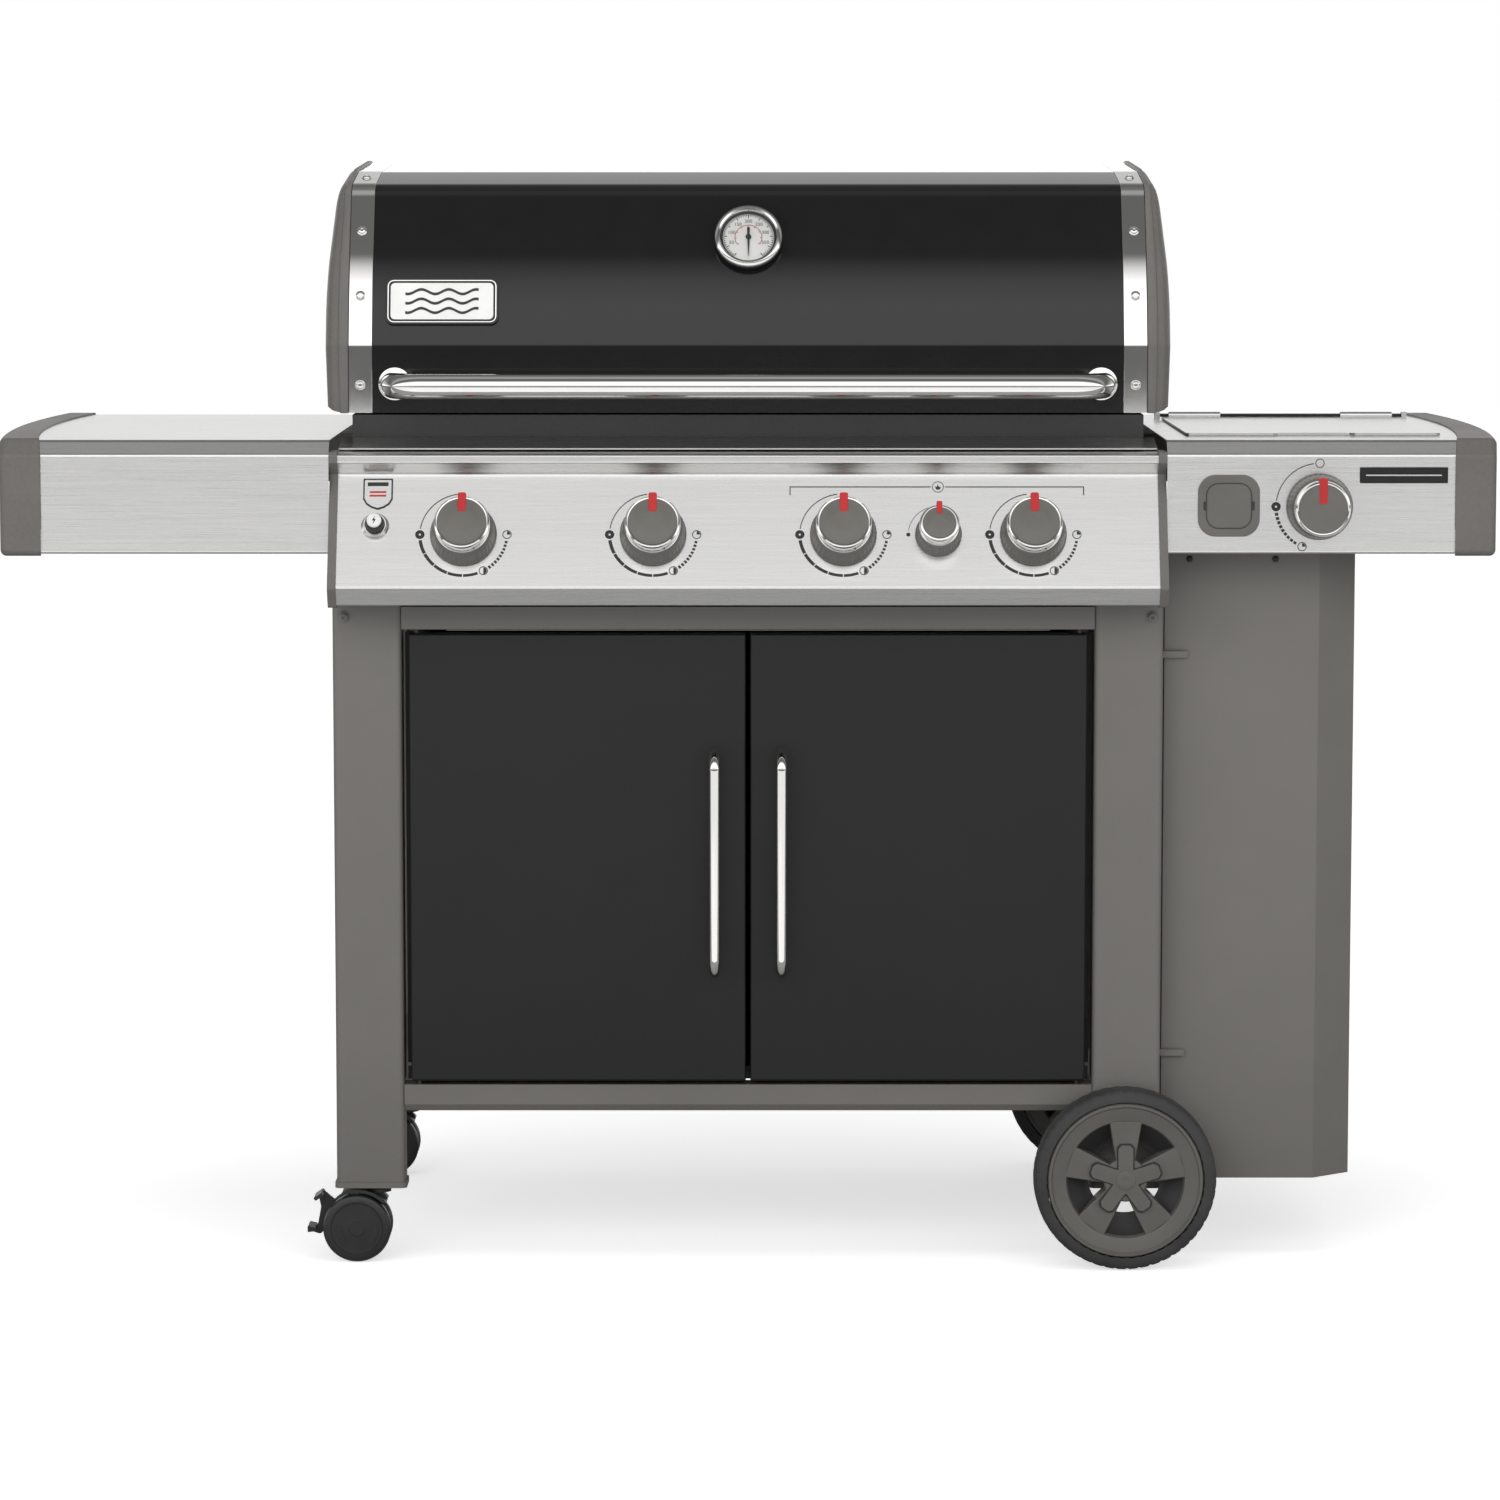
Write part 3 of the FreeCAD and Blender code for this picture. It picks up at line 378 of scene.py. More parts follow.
def bentPath(corners, bend, steps=10):
    points = [corners[0]]
    for before, here, after in zip(corners, corners[1:], corners[2:]):
        first = (before - here).normalized()
        second = (after - here).normalized()
        half = first.angle(second) / 2
        reach = bend / math.tan(half)
        centre = here + (first + second).normalized() * (bend / math.sin(half))
        a = here + first * reach - centre
        b = here + second * reach - centre
        points += [centre + a.slerp(b, k / steps).normalized() * bend for k in range(steps + 1)]
    return points + [corners[-1]]


def jointFrame(name, flip=1):
    joint = joints[name]
    outward = Vector(joint["axis"]).normalized() * flip
    right = Vector((1, 0, 0))
    upward = outward.cross(right).normalized()
    turn = Matrix((right, upward, outward)).transposed().to_4x4()
    return Matrix.Translation(Vector(joint["pos_m"])) @ turn


def settle(bm, matrix):
    bmesh.ops.transform(bm, matrix=matrix, verts=bm.verts)
    return bm


# knobs
knobShape = {"skirt": 0.0360, "cap": 0.0300, "height": 0.0413, "ribs": 40, "ribDepth": 0.0007,
             "pointerWidth": 0.0090, "pointerLength": 0.0215}


def makeKnob(node, size, wide, pointer):
    place = jointFrame(node + "_turn")
    shape = knobShape
    skirt = shape["skirt"] * size
    cap = shape["cap"] * size if wide else shape["cap"] * size * 1.02
    tall = shape["height"] * (1.0 if wide else 0.92)

    def ribs(angle, height):
        inside = 0.0045 < height < tall * 0.44
        return -shape["ribDepth"] * (0.5 + 0.5 * math.cos(angle * shape["ribs"])) if inside else 0

    bm = bmesh.new()
    profile = [(0, 0.0009), (skirt - 0.001, 0.0009), (skirt, 0.0018), (skirt - 0.0002, 0.0040),
               (skirt - 0.0006, 0.0050), (skirt - 0.0016, tall * 0.26), (skirt - 0.0030, tall * 0.42),
               (skirt - 0.0040, tall * 0.47), (cap + 0.0012, tall * 0.53), (cap - 0.0006, tall * 0.56),
               (cap - 0.0008, tall * 0.58)]
    lathe(bm, profile, 160, ribs)
    addPiece(node + "Skirt", settle(bm, place), node, "knobPlastic", "dark_plastic", 40, stands=(node,))

    bm = bmesh.new()
    ring = [(cap - 0.0010, tall * 0.55), (cap, tall * 0.57), (cap, tall * 0.90), (cap - 0.0008, tall * 0.955),
            (cap - 0.0022, tall * 0.975), (cap - 0.0034, tall * 0.970)]
    lathe(bm, ring, 96)
    addPiece(node + "Ring", settle(bm, place), node, "chrome", "chrome", 40)

    bm = bmesh.new()
    face = [(cap - 0.0033, tall * 0.960), (cap - 0.0040, tall * 0.985), (cap * 0.60, tall * 0.990),
            (cap * 0.57, tall * 0.997), (cap * 0.30, tall), (0, tall)]
    lathe(bm, face, 96)
    addPiece(node + "Face", settle(bm, place), node, "knobPlastic", "dark_plastic", 50)

    bm = bmesh.new()
    width = shape["pointerWidth"] * (1 if wide else 0.68)
    length = shape["pointerLength"] * pointer
    outline = [(x, y + cap - length / 2 + 0.0030) for x, y in roundedBox(width, length, width * 0.22, 3)]
    slab(bm, outline, tall * 0.60, tall * 1.012)
    addPiece(node + "Pointer", settle(bm, place), node, "redInsert", "dark_plastic", bevel=0.0006)


for knobName in ("knob_1", "knob_2", "knob_3", "knob_4"):
    makeKnob(knobName, 1.0, True, 1.0)
makeKnob("side_burner_knob", 1.0, True, 1.28)
makeKnob("sear_knob", 0.70, False, 0.66)
print("knobs made")


# printed dials
dialPrint = {"radius": 0.0470, "thin": 0.0010, "thick": 0.0036, "lift": 0.00015, "depth": 0.0001}


def ink(bm, outline):
    slab(bm, outline, dialPrint["lift"], dialPrint["lift"] + dialPrint["depth"])


def moved(outline, x, y):
    return [(px + x, py + y) for px, py in outline]


def disc(radius, steps=24):
    return [(radius * math.cos(math.tau * i / steps),
             radius * math.sin(math.tau * i / steps)) for i in range(steps)]


def markAt(bm, angle, kind):
    reach = dialPrint["radius"]
    x = reach * math.cos(math.radians(angle))
    y = reach * math.sin(math.radians(angle))
    size = 0.0050
    ink(bm, moved(arcBand(size - 0.0009, size, 0, 359.9, 32), x, y))
    shares = {"half": (270, 450), "quarter": (0, 90)}
    if kind == "full":
        for spin in (0, 180):
            ink(bm, moved(arcBand(0.0012, size, 75 + spin, 285 + spin - 180, 16), x, y))
            ink(bm, moved(arcBand(0.0012, size, 105 + spin, 255 + spin, 16), x, y))
    if kind in shares:
        start, end = shares[kind]
        wedge = [(x, y)] + moved(arcBand(size - 0.0020, size - 0.0012, start, end, 16)[:17], x, y)
        ink(bm, wedge)


def makeDial(name, joint, arcs, dashes, marks):
    bm = bmesh.new()
    reach = dialPrint["radius"]
    for start, end in arcs:
        ink(bm, arcBand(reach - dialPrint["thin"] / 2, reach + dialPrint["thin"] / 2, start, end, 40))
    for start, end, count, share in dashes:
        pitch = (end - start) / count
        for i in range(count):
            width = dialPrint["thick"] * (1.0 - 0.2 * i / count)
            a = start + pitch * i
            ink(bm, arcBand(reach - width / 2, reach + width / 2, a, a + pitch * share, 8))
    for angle, kind in marks:
        markAt(bm, angle, kind)
    addPiece(name, settle(bm, jointFrame(joint)), "cart", "blackInk", "black_paint")


for index in (1, 2, 3, 4):
    makeDial("dialPrint" + str(index), f"knob_{index}_turn", [(98, 172)],
             [(188, 291, 5, 0.94), (306, 353, 9, 0.6)],
             [(180, "full"), (298, "half"), (0, "quarter")])
makeDial("sideDialPrint", "side_burner_knob_turn", [(98, 172)], [(188, 240, 9, 0.7)],
         [(90, "none"), (180, "full"), (247, "quarter")])
print("dials printed")


# lid
lidShape = {"front": -0.244, "foot": 0.9362, "fold": 1.010, "skin": 0.410, "band": 0.436, "cap": 0.462,
            "wall": 0.002, "bandWall": 0.003, "steps": 12}


def lidCorners(grow):
    y = lidShape["front"]
    corners = [(y, lidShape["foot"], 0), (y, lidShape["fold"], 0.014), (y + 0.019, 1.080, 0.300),
               (y + 0.072, 1.182, 0.034), (y + 0.180, 1.197, 0.160), (y + 0.410, 1.207, 0.300),
               (y + 0.540, 1.180, 0.120), (y + 0.606, 1.100, 0.110), (y + 0.6205, 1.030, 0.090),
               (y + 0.6205, lidShape["foot"], 0)]
    return offsetPath(corners, grow)


def offsetPath(corners, grow):
    made = []
    for i, (u, v, radius) in enumerate(corners):
        here = Vector((u, v))
        before = here - Vector(corners[i - 1][:2]) if i else None
        after = Vector(corners[i + 1][:2]) - here if i < len(corners) - 1 else None
        first = (before or after).normalized()
        second = (after or before).normalized()
        n1 = Vector((-first.y, first.x))
        n2 = Vector((-second.y, second.x))
        shift = (n1 + n2) * (grow / (1 + n1.dot(n2)))
        turn = first.x * second.y - first.y * second.x
        if radius:
            radius = max(radius - grow if turn > 0 else radius + grow, 0.0005)
        made.append((u + shift.x, v + shift.y, radius))
    return made


def curvePath(corners, steps):
    points = [Vector(corners[0][:2])]
    for before, here, after in zip(corners, corners[1:], corners[2:]):
        spot = Vector(here[:2])
        first = (Vector(before[:2]) - spot).normalized()
        second = (Vector(after[:2]) - spot).normalized()
        half = first.angle(second) / 2
        reach = here[2] / math.tan(half)
        centre = spot + (first + second).normalized() * (here[2] / math.sin(half))
        a = spot + first * reach - centre
        b = spot + second * reach - centre
        sweep = a.angle_signed(b)
        for k in range(steps + 1):
            turn = Matrix.Rotation(-sweep * k / steps, 2)
            points.append(centre + turn @ a)
    return points + [Vector(corners[-1][:2])]


def lidLoop(grow):
    return curvePath(lidCorners(grow), lidShape["steps"])


def lidSheet(name, x0, x1, grow, wall, finish, slot, node, bevel, columns=1):
    bm = bmesh.new()
    outer = lidLoop(grow)
    inner = lidLoop(grow - wall)
    loop = outer + list(reversed(inner))
    rows = [[(x0 + (x1 - x0) * k / columns, p.x, p.y) for p in loop] for k in range(columns + 1)]
    made = grid(bm, rows, closed=True)
    half = len(outer)
    for row, flip in ((made[0], False), (made[-1], True)):
        for i in range(half - 1):
            quad = (row[i], row[i + 1], row[2 * half - 2 - i], row[2 * half - 1 - i])
            bm.faces.new(tuple(reversed(quad)) if flip else quad)
    addPiece(name, bm, "lid", finish, slot, 30, bevel, stands=(node,))


lidSheet("lidSkin", -0.4098, 0.4098, 0.0, lidShape["wall"], "enamel", "black_enamel", "lid_skin", 0.0, 8)
for side in (-1, 1):
    ends = sorted((side * lidShape["skin"], side * (lidShape["band"] - 0.0004)))
    lidSheet("trimBand" + ("Left" if side < 0 else "Right"), ends[0], ends[1], 0.0010, lidShape["bandWall"],
             "chrome", "chrome", "lid_trim_bands", 0.0005)


def capEdge(z):  # how far out the cap bulges at a height
    high = max(0.0, z - 1.030) / 0.176
    low = max(0.0, 0.960 - z) / 0.024
    return lidShape["cap"] - 0.0150 * high * high - 0.0035 * low * low


capRings = [(0.0, 0.0), (0.03, -0.0006), (0.06, -0.0008), (0.36, -0.0008), (0.40, -0.0002), (0.425, 0.0012),
            (0.45, 0.0016), (0.62, 0.0026), (0.78, 0.0052), (0.89, 0.0092), (0.96, 0.0145), (0.995, 0.0210),
            (1.0, 0.0280)]
for side in (-1, 1):
    bm = bmesh.new()
    rows = []
    for share, inset in capRings:
        loop = lidLoop(0.0035 - 0.0008 - inset)
        lift = min(inset * 0.55, 0.006)
        rows.append([])
        for p in loop:
            z = p.y + (lift if p.y < lidShape["foot"] + 0.001 else 0)
            x = lidShape["band"] + share * (capEdge(z) - lidShape["band"])
            rows[-1].append((side * x, p.x, z))
    heart = Vector((0.066, 1.040))
    last = [Vector((p[1], p[2])) for p in rows[-1]]
    for scale in (0.85, 0.65, 0.4, 0.2):
        rows.append([(side * capEdge(q.y), q.x, q.y) for q in (heart + (p - heart) * scale for p in last)])
    made = grid(bm, rows, closed=True)
    bm.faces.new(made[-1])
    inner = [bm.verts.new((side * lidShape["band"], p.x, p.y)) for p in lidLoop(-0.004)]
    for i in range(len(inner) - 1):
        bm.faces.new((made[0][i], made[0][i + 1], inner[i + 1], inner[i]))
    addPiece("lidCap" + ("Left" if side < 0 else "Right"), bm, "lid", "capCasting", "cast_aluminium", 42,
             stands=("lid_end_caps",))
print("lid made")


# screws
def makeScrew(name, centre, outward, radius, height, body, slot, finish="chrome", flange=0.0, stands=()):
    outward = Vector(outward).normalized()
    turn = outward.to_track_quat("Z", "Y").to_matrix().to_4x4()
    bm = bmesh.new()
    profile = [(radius, 0)]
    if flange:
        profile = [(flange, 0), (flange, height * 0.12), (flange * 0.96, height * 0.2),
                   (radius, height * 0.24)]
    profile += [(radius, height * 0.30), (radius * 0.93, height * 0.62), (radius * 0.76, height * 0.88),
                (radius * 0.50, height), (radius * 0.40, height), (radius * 0.36, height * 0.55),
                (0, height * 0.55)]
    lathe(bm, profile, 36, lambda angle, h: -radius * 0.05 if abs(h - height * 0.55) < 1e-6
          and math.cos(6 * angle) > 0 else 0)
    settle(bm, Matrix.Translation(centre) @ turn)
    addPiece(name, bm, body, finish, slot, 50, stands=stands)


def lidFace(z):  # depth and lean of the lid's front
    corners = lidCorners(0)
    for low, high in zip(corners, corners[1:]):
        if low[1] <= z <= high[1]:
            run = Vector(high[:2]) - Vector(low[:2])
            return low[0] + run.x * (z - low[1]) / run.y, math.atan2(run.x, run.y)
    return corners[0][0], 0.0


count = 0
for side in (-1, 1):
    spots = [(z, *lidFace(z)) for z in (0.9665, 1.063, 1.133)]
    spots.append((1.1895, lidShape["front"] + 0.126, math.radians(82)))
    for z, y, lean in spots:
        outward = Vector((0, -math.cos(lean), math.sin(lean)))
        centre = Vector((side * 0.423, y, z)) + outward * 0.0011
        count += 1
        makeScrew("lidScrew" + str(count), centre, outward, 0.0046, 0.0030, "lid", "stainless", flange=0.0055,
                  stands=("lid_screws",))
low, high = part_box("frame_screws")
for side in (-1, 1):
    spot = Vector((side * 0.441, low.y + 0.005, 0.715))
    makeScrew("frameScrew" + ("Left" if side < 0 else "Right"), spot, (0, -1, 0), 0.0052, 0.0045, "cart",
              "black_paint", "graphite", flange=0.0070, stands=("frame_screws",))
for x in (0.484, 0.578):
    spot = Vector((x, -0.240, 0.776))
    makeScrew("panelScrew" + str(round(x * 1000)), spot, (0, -1, 0), 0.0036, 0.0024, "cart", "black_paint",
              "innerBlack")
print("screws made")


# thermometer
gauge = {"rim": 0.0375, "face": 0.0278, "firstTick": 235, "lastTick": -55, "ticks": 51}
gaugePlace = jointFrame("needle_turn", -1)


def gaugePiece(name, bm, finish, slot, **more):
    addPiece(name, settle(bm, gaugePlace), "lid", finish, slot, **more)


bm = bmesh.new()
rim = gauge["rim"]
lathe(bm, [(rim - 0.0030, 0.0088), (rim - 0.0010, 0.0092), (rim, 0.0108), (rim, 0.0128),
           (rim - 0.0016, 0.0152), (rim - 0.0042, 0.0162), (rim - 0.0062, 0.0152), (rim - 0.0070, 0.0128),
           (rim - 0.0072, 0.0095)], 96)
gaugePiece("gaugeBezel", bm, "chrome", "chrome", sharp=40, stands=("thermometer_case",))
bm = bmesh.new()
lathe(bm, [(rim - 0.0069, 0.0096), (0, 0.0096)], 64)
gaugePiece("gaugeFace", bm, "dialFace", "white_plastic", stands=("thermometer_dial",))
# the housing is a real standoff under the bezel, but its near-black finish also paints the shadow and dark
# reflection beneath the bezel
bm = bmesh.new()
housing = [(rim - 0.0038, 0.0006), (rim - 0.0028, 0.0014), (rim - 0.0028, 0.0089), (rim - 0.0060, 0.0092)]
lathe(bm, housing, 96)
gaugePiece("gaugeHousing", bm, "casterPlastic", "chrome", sharp=40)
bm = bmesh.new()
lathe(bm, [(rim - 0.0068, 0.0097), (rim - 0.0072, 0.0104), (gauge["face"] + 0.0006, 0.0099),
           (gauge["face"] + 0.0002, 0.0097)], 96)
gaugePiece("gaugeShadowRing", bm, "casterPlastic", "black_paint", sharp=40)
bm = bmesh.new()
lathe(bm, [(rim - 0.0070, 0.0136), (rim * 0.5, 0.0142), (0, 0.0144)], 64)
gaugePiece("gaugeGlass", bm, "glass", "chrome")


def gaugeMark(bm, outline):
    slab(bm, outline, 0.00975, 0.00985)


def turned(outline, angle):
    c, s = math.cos(angle), math.sin(angle)
    return [(x * c - y * s, x * s + y * c) for x, y in outline]


bm = bmesh.new()
for i in range(gauge["ticks"]):
    angle = gauge["firstTick"] + (gauge["lastTick"] - gauge["firstTick"]) * i / (gauge["ticks"] - 1)
    major = i % 5 == 0
    inner = gauge["face"] * (0.84 if major else 0.90)
    width = 0.0005 if major else 0.00028
    bar = [(inner, -width), (gauge["face"] * 0.965, -width), (gauge["face"] * 0.965, width), (inner, width)]
    gaugeMark(bm, turned(bar, math.radians(angle)))
face = gauge["face"]
gaugeMark(bm, arcBand(face * 0.965, face * 0.985, gauge["lastTick"], gauge["firstTick"], 96))
gaugePiece("gaugeTicks", bm, "blackInk", "black_paint")
bm = bmesh.new()
gaugeMark(bm, arcBand(face * 0.52, face * 0.545, gauge["lastTick"] + 20, gauge["firstTick"] - 20, 80))
for i in range(9):
    angle = math.radians(gauge["firstTick"] - 20 - i * 31)
    bar = [(gauge["face"] * 0.46, -0.0004), (gauge["face"] * 0.53, -0.0004), (gauge["face"] * 0.53, 0.0004),
           (gauge["face"] * 0.46, 0.0004)]
    gaugeMark(bm, turned(bar, angle))
gaugePiece("gaugeInnerScale", bm, "redInk", "black_paint")


def addNumber(text, angle, reach, size, finish):
    curve = bpy.data.curves.new("number" + text, "FONT")
    curve.body = text
    curve.size = size
    curve.align_x = "CENTER"
    curve.align_y = "CENTER"
    curve.extrude = 0.00004
    probe = bpy.data.objects.new("probe", curve)
    bpy.context.scene.collection.objects.link(probe)
    bpy.context.view_layer.update()
    mesh = bpy.data.meshes.new_from_object(probe)
    bpy.data.objects.remove(probe)
    spot = Vector((reach * math.cos(math.radians(angle)), reach * math.sin(math.radians(angle)), 0.0098))
    bm = bmesh.new()
    bm.from_mesh(mesh)
    settle(bm, Matrix.Translation(spot))
    gaugePiece("gaugeNumber" + text, bm, finish, "black_paint")


for i in range(1, 8):
    addNumber(str(i * 50), gauge["firstTick"] - 36.25 * i, gauge["face"] * 0.70, 0.0056, "blackInk")

bm = bmesh.new()
lathe(bm, [(0.0030, 0.0111), (0.0030, 0.0122), (0.0022, 0.0130), (0, 0.0131)], 32)
slab(bm, [(-0.0015, 0.0115), (-0.0010, -0.0080), (-0.0003, -0.0235), (0.0003, -0.0235), (0.0010, -0.0080),
          (0.0015, 0.0115)], 0.0113, 0.0119)
addPiece("gaugeNeedle", settle(bm, gaugePlace), "thermometer_needle", "blackInk", "black_paint",
         stands=("thermometer_needle",))
print("thermometer made")


# panel fittings
bm = bmesh.new()
slope = Vector(joints["igniter_push"]["axis"]).normalized() * -1
panelSpot = Vector(joints["knob_1_turn"]["pos_m"])
igniter = {"x": -0.4023, "z": 0.8170}  # on the axis of the bezel's bore
lift = igniter["z"] - panelSpot.z
foot = Vector((igniter["x"], panelSpot.y + lift * math.tan(math.asin(slope.z)), igniter["z"]))
turn = Matrix((Vector((1, 0, 0)), slope.cross(Vector((1, 0, 0))).normalized(), slope)).transposed().to_4x4()
buttonPlace = Matrix.Translation(foot) @ turn
lathe(bm, [(0.0153, 0.0001), (0.0153, 0.0012), (0.0146, 0.0030), (0.0136, 0.0040), (0.0130, 0.0074),
           (0.0122, 0.0086), (0.0111, 0.0086), (0.0110, 0.0010)], 64)
addPiece("igniterCollar", settle(bm, buttonPlace), "cart", "chrome", "chrome", 40, stands=("igniter_bezel",))
bm = bmesh.new()
lathe(bm, [(0.0106, 0.0010), (0.0106, 0.0128), (0.0096, 0.0150), (0.0088, 0.0190), (0.0084, 0.0194)], 96,
      lambda angle, height: -0.0006 * (0.5 + 0.5 * math.cos(angle * 24)) if height < 0.0140 else 0)
addPiece("igniterBarrel", settle(bm, buttonPlace), "igniter_button", "casterPlastic", "black_plastic", 45,
         stands=("igniter_button",))
bm = bmesh.new()
lathe(bm, [(0.0080, 0.0194), (0.0080, 0.0210), (0.0074, 0.0216), (0.0050, 0.0218), (0, 0.0219)], 48)
addPiece("igniterCap", settle(bm, buttonPlace), "igniter_button", "whitePlastic", "white_plastic", 60)
bm = bmesh.new()
bolt = [(0.0010, 0.0048), (-0.0022, -0.0006), (-0.0002, -0.0006), (-0.0012, -0.0048), (0.0022, 0.0008),
        (0.0002, 0.0008)]
slab(bm, bolt, 0.02165, 0.02195)
addPiece("igniterSpark", settle(bm, buttonPlace), "igniter_button", "blackInk", "black_paint")

# bracket line over the two right-hand burners
bracket = {"left": 0.0455, "right": 0.3630, "drop": 0.0095, "ring": 0.0064, "line": 0.0011}
bracketZ = 0.8590
rise = (bracketZ - panelSpot.z) / math.cos(math.asin(slope.z))
lineSpot = Matrix.Translation(panelSpot + Vector((-panelSpot.x, 0, 0))) @ turn
middle = joints["sear_knob_turn"]["pos_m"][0]
bm = bmesh.new()
line = bracket["line"] / 2
for x0, x1 in ((bracket["left"], middle - bracket["ring"] * 1.25),
               (middle + bracket["ring"] * 1.25, bracket["right"])):
    ink(bm, [(x0, rise - line), (x1, rise - line), (x1, rise + line), (x0, rise + line)])
for x in (bracket["left"], bracket["right"]):
    ink(bm, [(x - line, rise - bracket["drop"]), (x + line, rise - bracket["drop"]), (x + line, rise + line),
             (x - line, rise + line)])
ink(bm, moved(arcBand(bracket["ring"] - 0.0007, bracket["ring"], 0, 359.9, 40), middle, rise))
ink(bm, moved([(-0.0022, -0.0030), (0.0022, -0.0030), (0.0030, 0.0004), (0.0010, -0.0002), (0, 0.0036),
               (-0.0012, 0), (-0.0030, 0.0008)], middle, rise))
ink(bm, moved(disc(0.0022), middle - 0.0325, 0))
ink(bm, moved(arcBand(0.0322, 0.0328, 98, 172, 30), middle, 0))
addPiece("burnerBracketPrint", settle(bm, lineSpot), "cart", "blackInk", "black_paint")


# plain badges and plates
def leaningFrame(centre, lean):  # local Z points out of a face that leans back
    outward = Vector((0, -math.cos(lean), math.sin(lean)))
    upward = Vector((0, math.sin(lean), math.cos(lean)))
    return Matrix.Translation(centre) @ Matrix((Vector((1, 0, 0)), upward, outward)).transposed().to_4x4()


def flatPlate(name, node, centre, lean, outlines, low, high, finish, slot, body, bevel=0.0005):
    bm = bmesh.new()
    for outline in outlines:
        slab(bm, outline, low, high)
    settle(bm, leaningFrame(centre, lean))
    addPiece(name, bm, body, finish, slot, bevel=bevel, stands=(node,) if node else ())


badgeY, badgeLean = lidFace(1.0565)
badgeSpot = Vector((-0.3338, badgeY, 1.0565))
badgeSize = {"width": 0.1234, "height": 0.0520, "corner": 0.0085}
badgeOutline = roundedBox(badgeSize["width"], badgeSize["height"], badgeSize["corner"])
flatPlate("badgePlate", "lid_badge", badgeSpot, badgeLean, [badgeOutline], 0.0011, 0.0036, "enamel",
          "black_paint", "lid")


def frameBand(name, centre, lean, width, height, corner, rim, low, high, finish, slot, body):
    bm = bmesh.new()
    outer = roundedBox(width, height, corner)
    inner = roundedBox(width - 2 * rim, height - 2 * rim, max(corner - rim, 0.0005))
    rows = [[(x, y, low) for x, y in outer], [(x, y, high) for x, y in outer],
            [(x, y, high) for x, y in inner], [(x, y, low) for x, y in inner]]
    grid(bm, rows, closed=True)
    addPiece(name, settle(bm, leaningFrame(centre, lean)), body, finish, slot, bevel=0.0004)


frameBand("badgeRim", badgeSpot, badgeLean, 0.1190, 0.0476, 0.0070, 0.0014, 0.0036, 0.0044, "chrome",
          "chrome", "lid")
waves = []
for row in (-1, 0, 1):
    top = []
    bottom = []
    for k in range(41):
        x = -0.040 + 0.080 * k / 40
        y = row * 0.0105 + 0.0026 * math.sin(x * 210)
        top.append((x, y + 0.0015))
        bottom.append((x, y - 0.0015))
    waves.append(top + list(reversed(bottom)))
badgeFace = roundedBox(0.1120, 0.0406, 0.0048)
flatPlate("badgeFace", "", badgeSpot, badgeLean, [badgeFace], 0.0036, 0.0040, "dialFace", "white_plastic",
          "lid", 0.0)
flatPlate("badgeWaves", "", badgeSpot, badgeLean, waves, 0.0040, 0.0043, "blackInk", "black_paint",
          "lid", 0.0)

shieldOutline = [(-0.0160, 0.0170), (-0.0152, 0.0176), (0.0152, 0.0176), (0.0160, 0.0170), (0.0160, -0.0060),
                 (0.0128, -0.0118), (0.0070, -0.0158), (0, -0.0182), (-0.0070, -0.0158), (-0.0128, -0.0118),
                 (-0.0160, -0.0060)]
lean = math.asin(slope.z)
shieldZ = 0.8515
shieldSpot = panelSpot + Vector((-0.400 - panelSpot.x, (shieldZ - panelSpot.z) * math.tan(lean),
                                 shieldZ - panelSpot.z))
flatPlate("shieldPlate", "trim_plates", shieldSpot, lean, [shieldOutline], 0.0001, 0.0009, "blackInk",
          "black_paint", "cart", 0.0)
shieldInside = [(x * 0.90, y * 0.90) for x, y in shieldOutline]
flatPlate("shieldFace", "", shieldSpot, lean, [shieldInside], 0.0009, 0.0011, "steelAcross", "stainless",
          "cart", 0.0)
shieldBar = [(-0.0112, 0.0088), (0.0112, 0.0088), (0.0112, 0.0132), (-0.0112, 0.0132)]
flatPlate("shieldBars", "", shieldSpot, lean, [shieldBar], 0.0011, 0.0012, "blackInk", "black_paint",
          "cart", 0.0)
stripes = [[(-0.0090, y), (0.0090, y), (0.0090, y + 0.0022), (-0.0090, y + 0.0022)] for y in (0.0008, -0.0034)]
flatPlate("shieldStripes", "", shieldSpot, lean, stripes, 0.0011, 0.0012, "redInk", "black_paint",
          "cart", 0.0)

low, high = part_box("socket_cover")
centre = (low + high) / 2
centre.y = high.y
coverOutline = roundedBox(high.x - low.x, high.z - low.z, 0.019, 10)
flatPlate("coverBase", "socket_cover", centre, 0, [coverOutline], 0.0001, 0.0030, "knobPlastic",
          "dark_plastic", "cart", 0.0012)
flatPlate("coverInset", "", centre, 0, [roundedBox(0.046, 0.046, 0.012, 10)], 0.0030, 0.0036, "knobPlastic",
          "dark_plastic", "cart", 0.0006)
# painted shade: a thin black ring round the raised inset stands in for the shade of the gap around it
frameBand("coverRim", centre, 0, 0.0500, 0.0500, 0.0140, 0.0010, 0.0028, 0.0034, "blackInk", "chrome", "cart")
# painted shade: the notches are flat black marks on the cover, standing in for the shade inside the notch
# recesses
notches = [moved(roundedBox(0.0030, 0.0100, 0.0014), x, 0) for x in (-0.0262, 0.0262)]
flatPlate("coverNotches", "", centre, 0, notches, 0.0030, 0.00325, "blackInk", "dark_plastic",
          "cart", 0.0)
plate = {"x": 0.70835, "z": 0.87225, "width": 0.0953, "height": 0.0173}
plateSpot = Vector((plate["x"], high.y, plate["z"]))
plateOutline = roundedBox(plate["width"], plate["height"], 0.0012)
flatPlate("namePlate", "trim_plates", plateSpot, 0, [plateOutline], 0.0001, 0.0013, "enamel", "black_paint",
          "cart", 0.0003)
plateLine = roundedBox(plate["width"] * 0.86, 0.0014, 0.0006)
flatPlate("namePlateLine", "", plateSpot, 0, [plateLine], 0.0013, 0.0015, "steelAcross", "stainless",
          "cart", 0.0)
print("badges made")


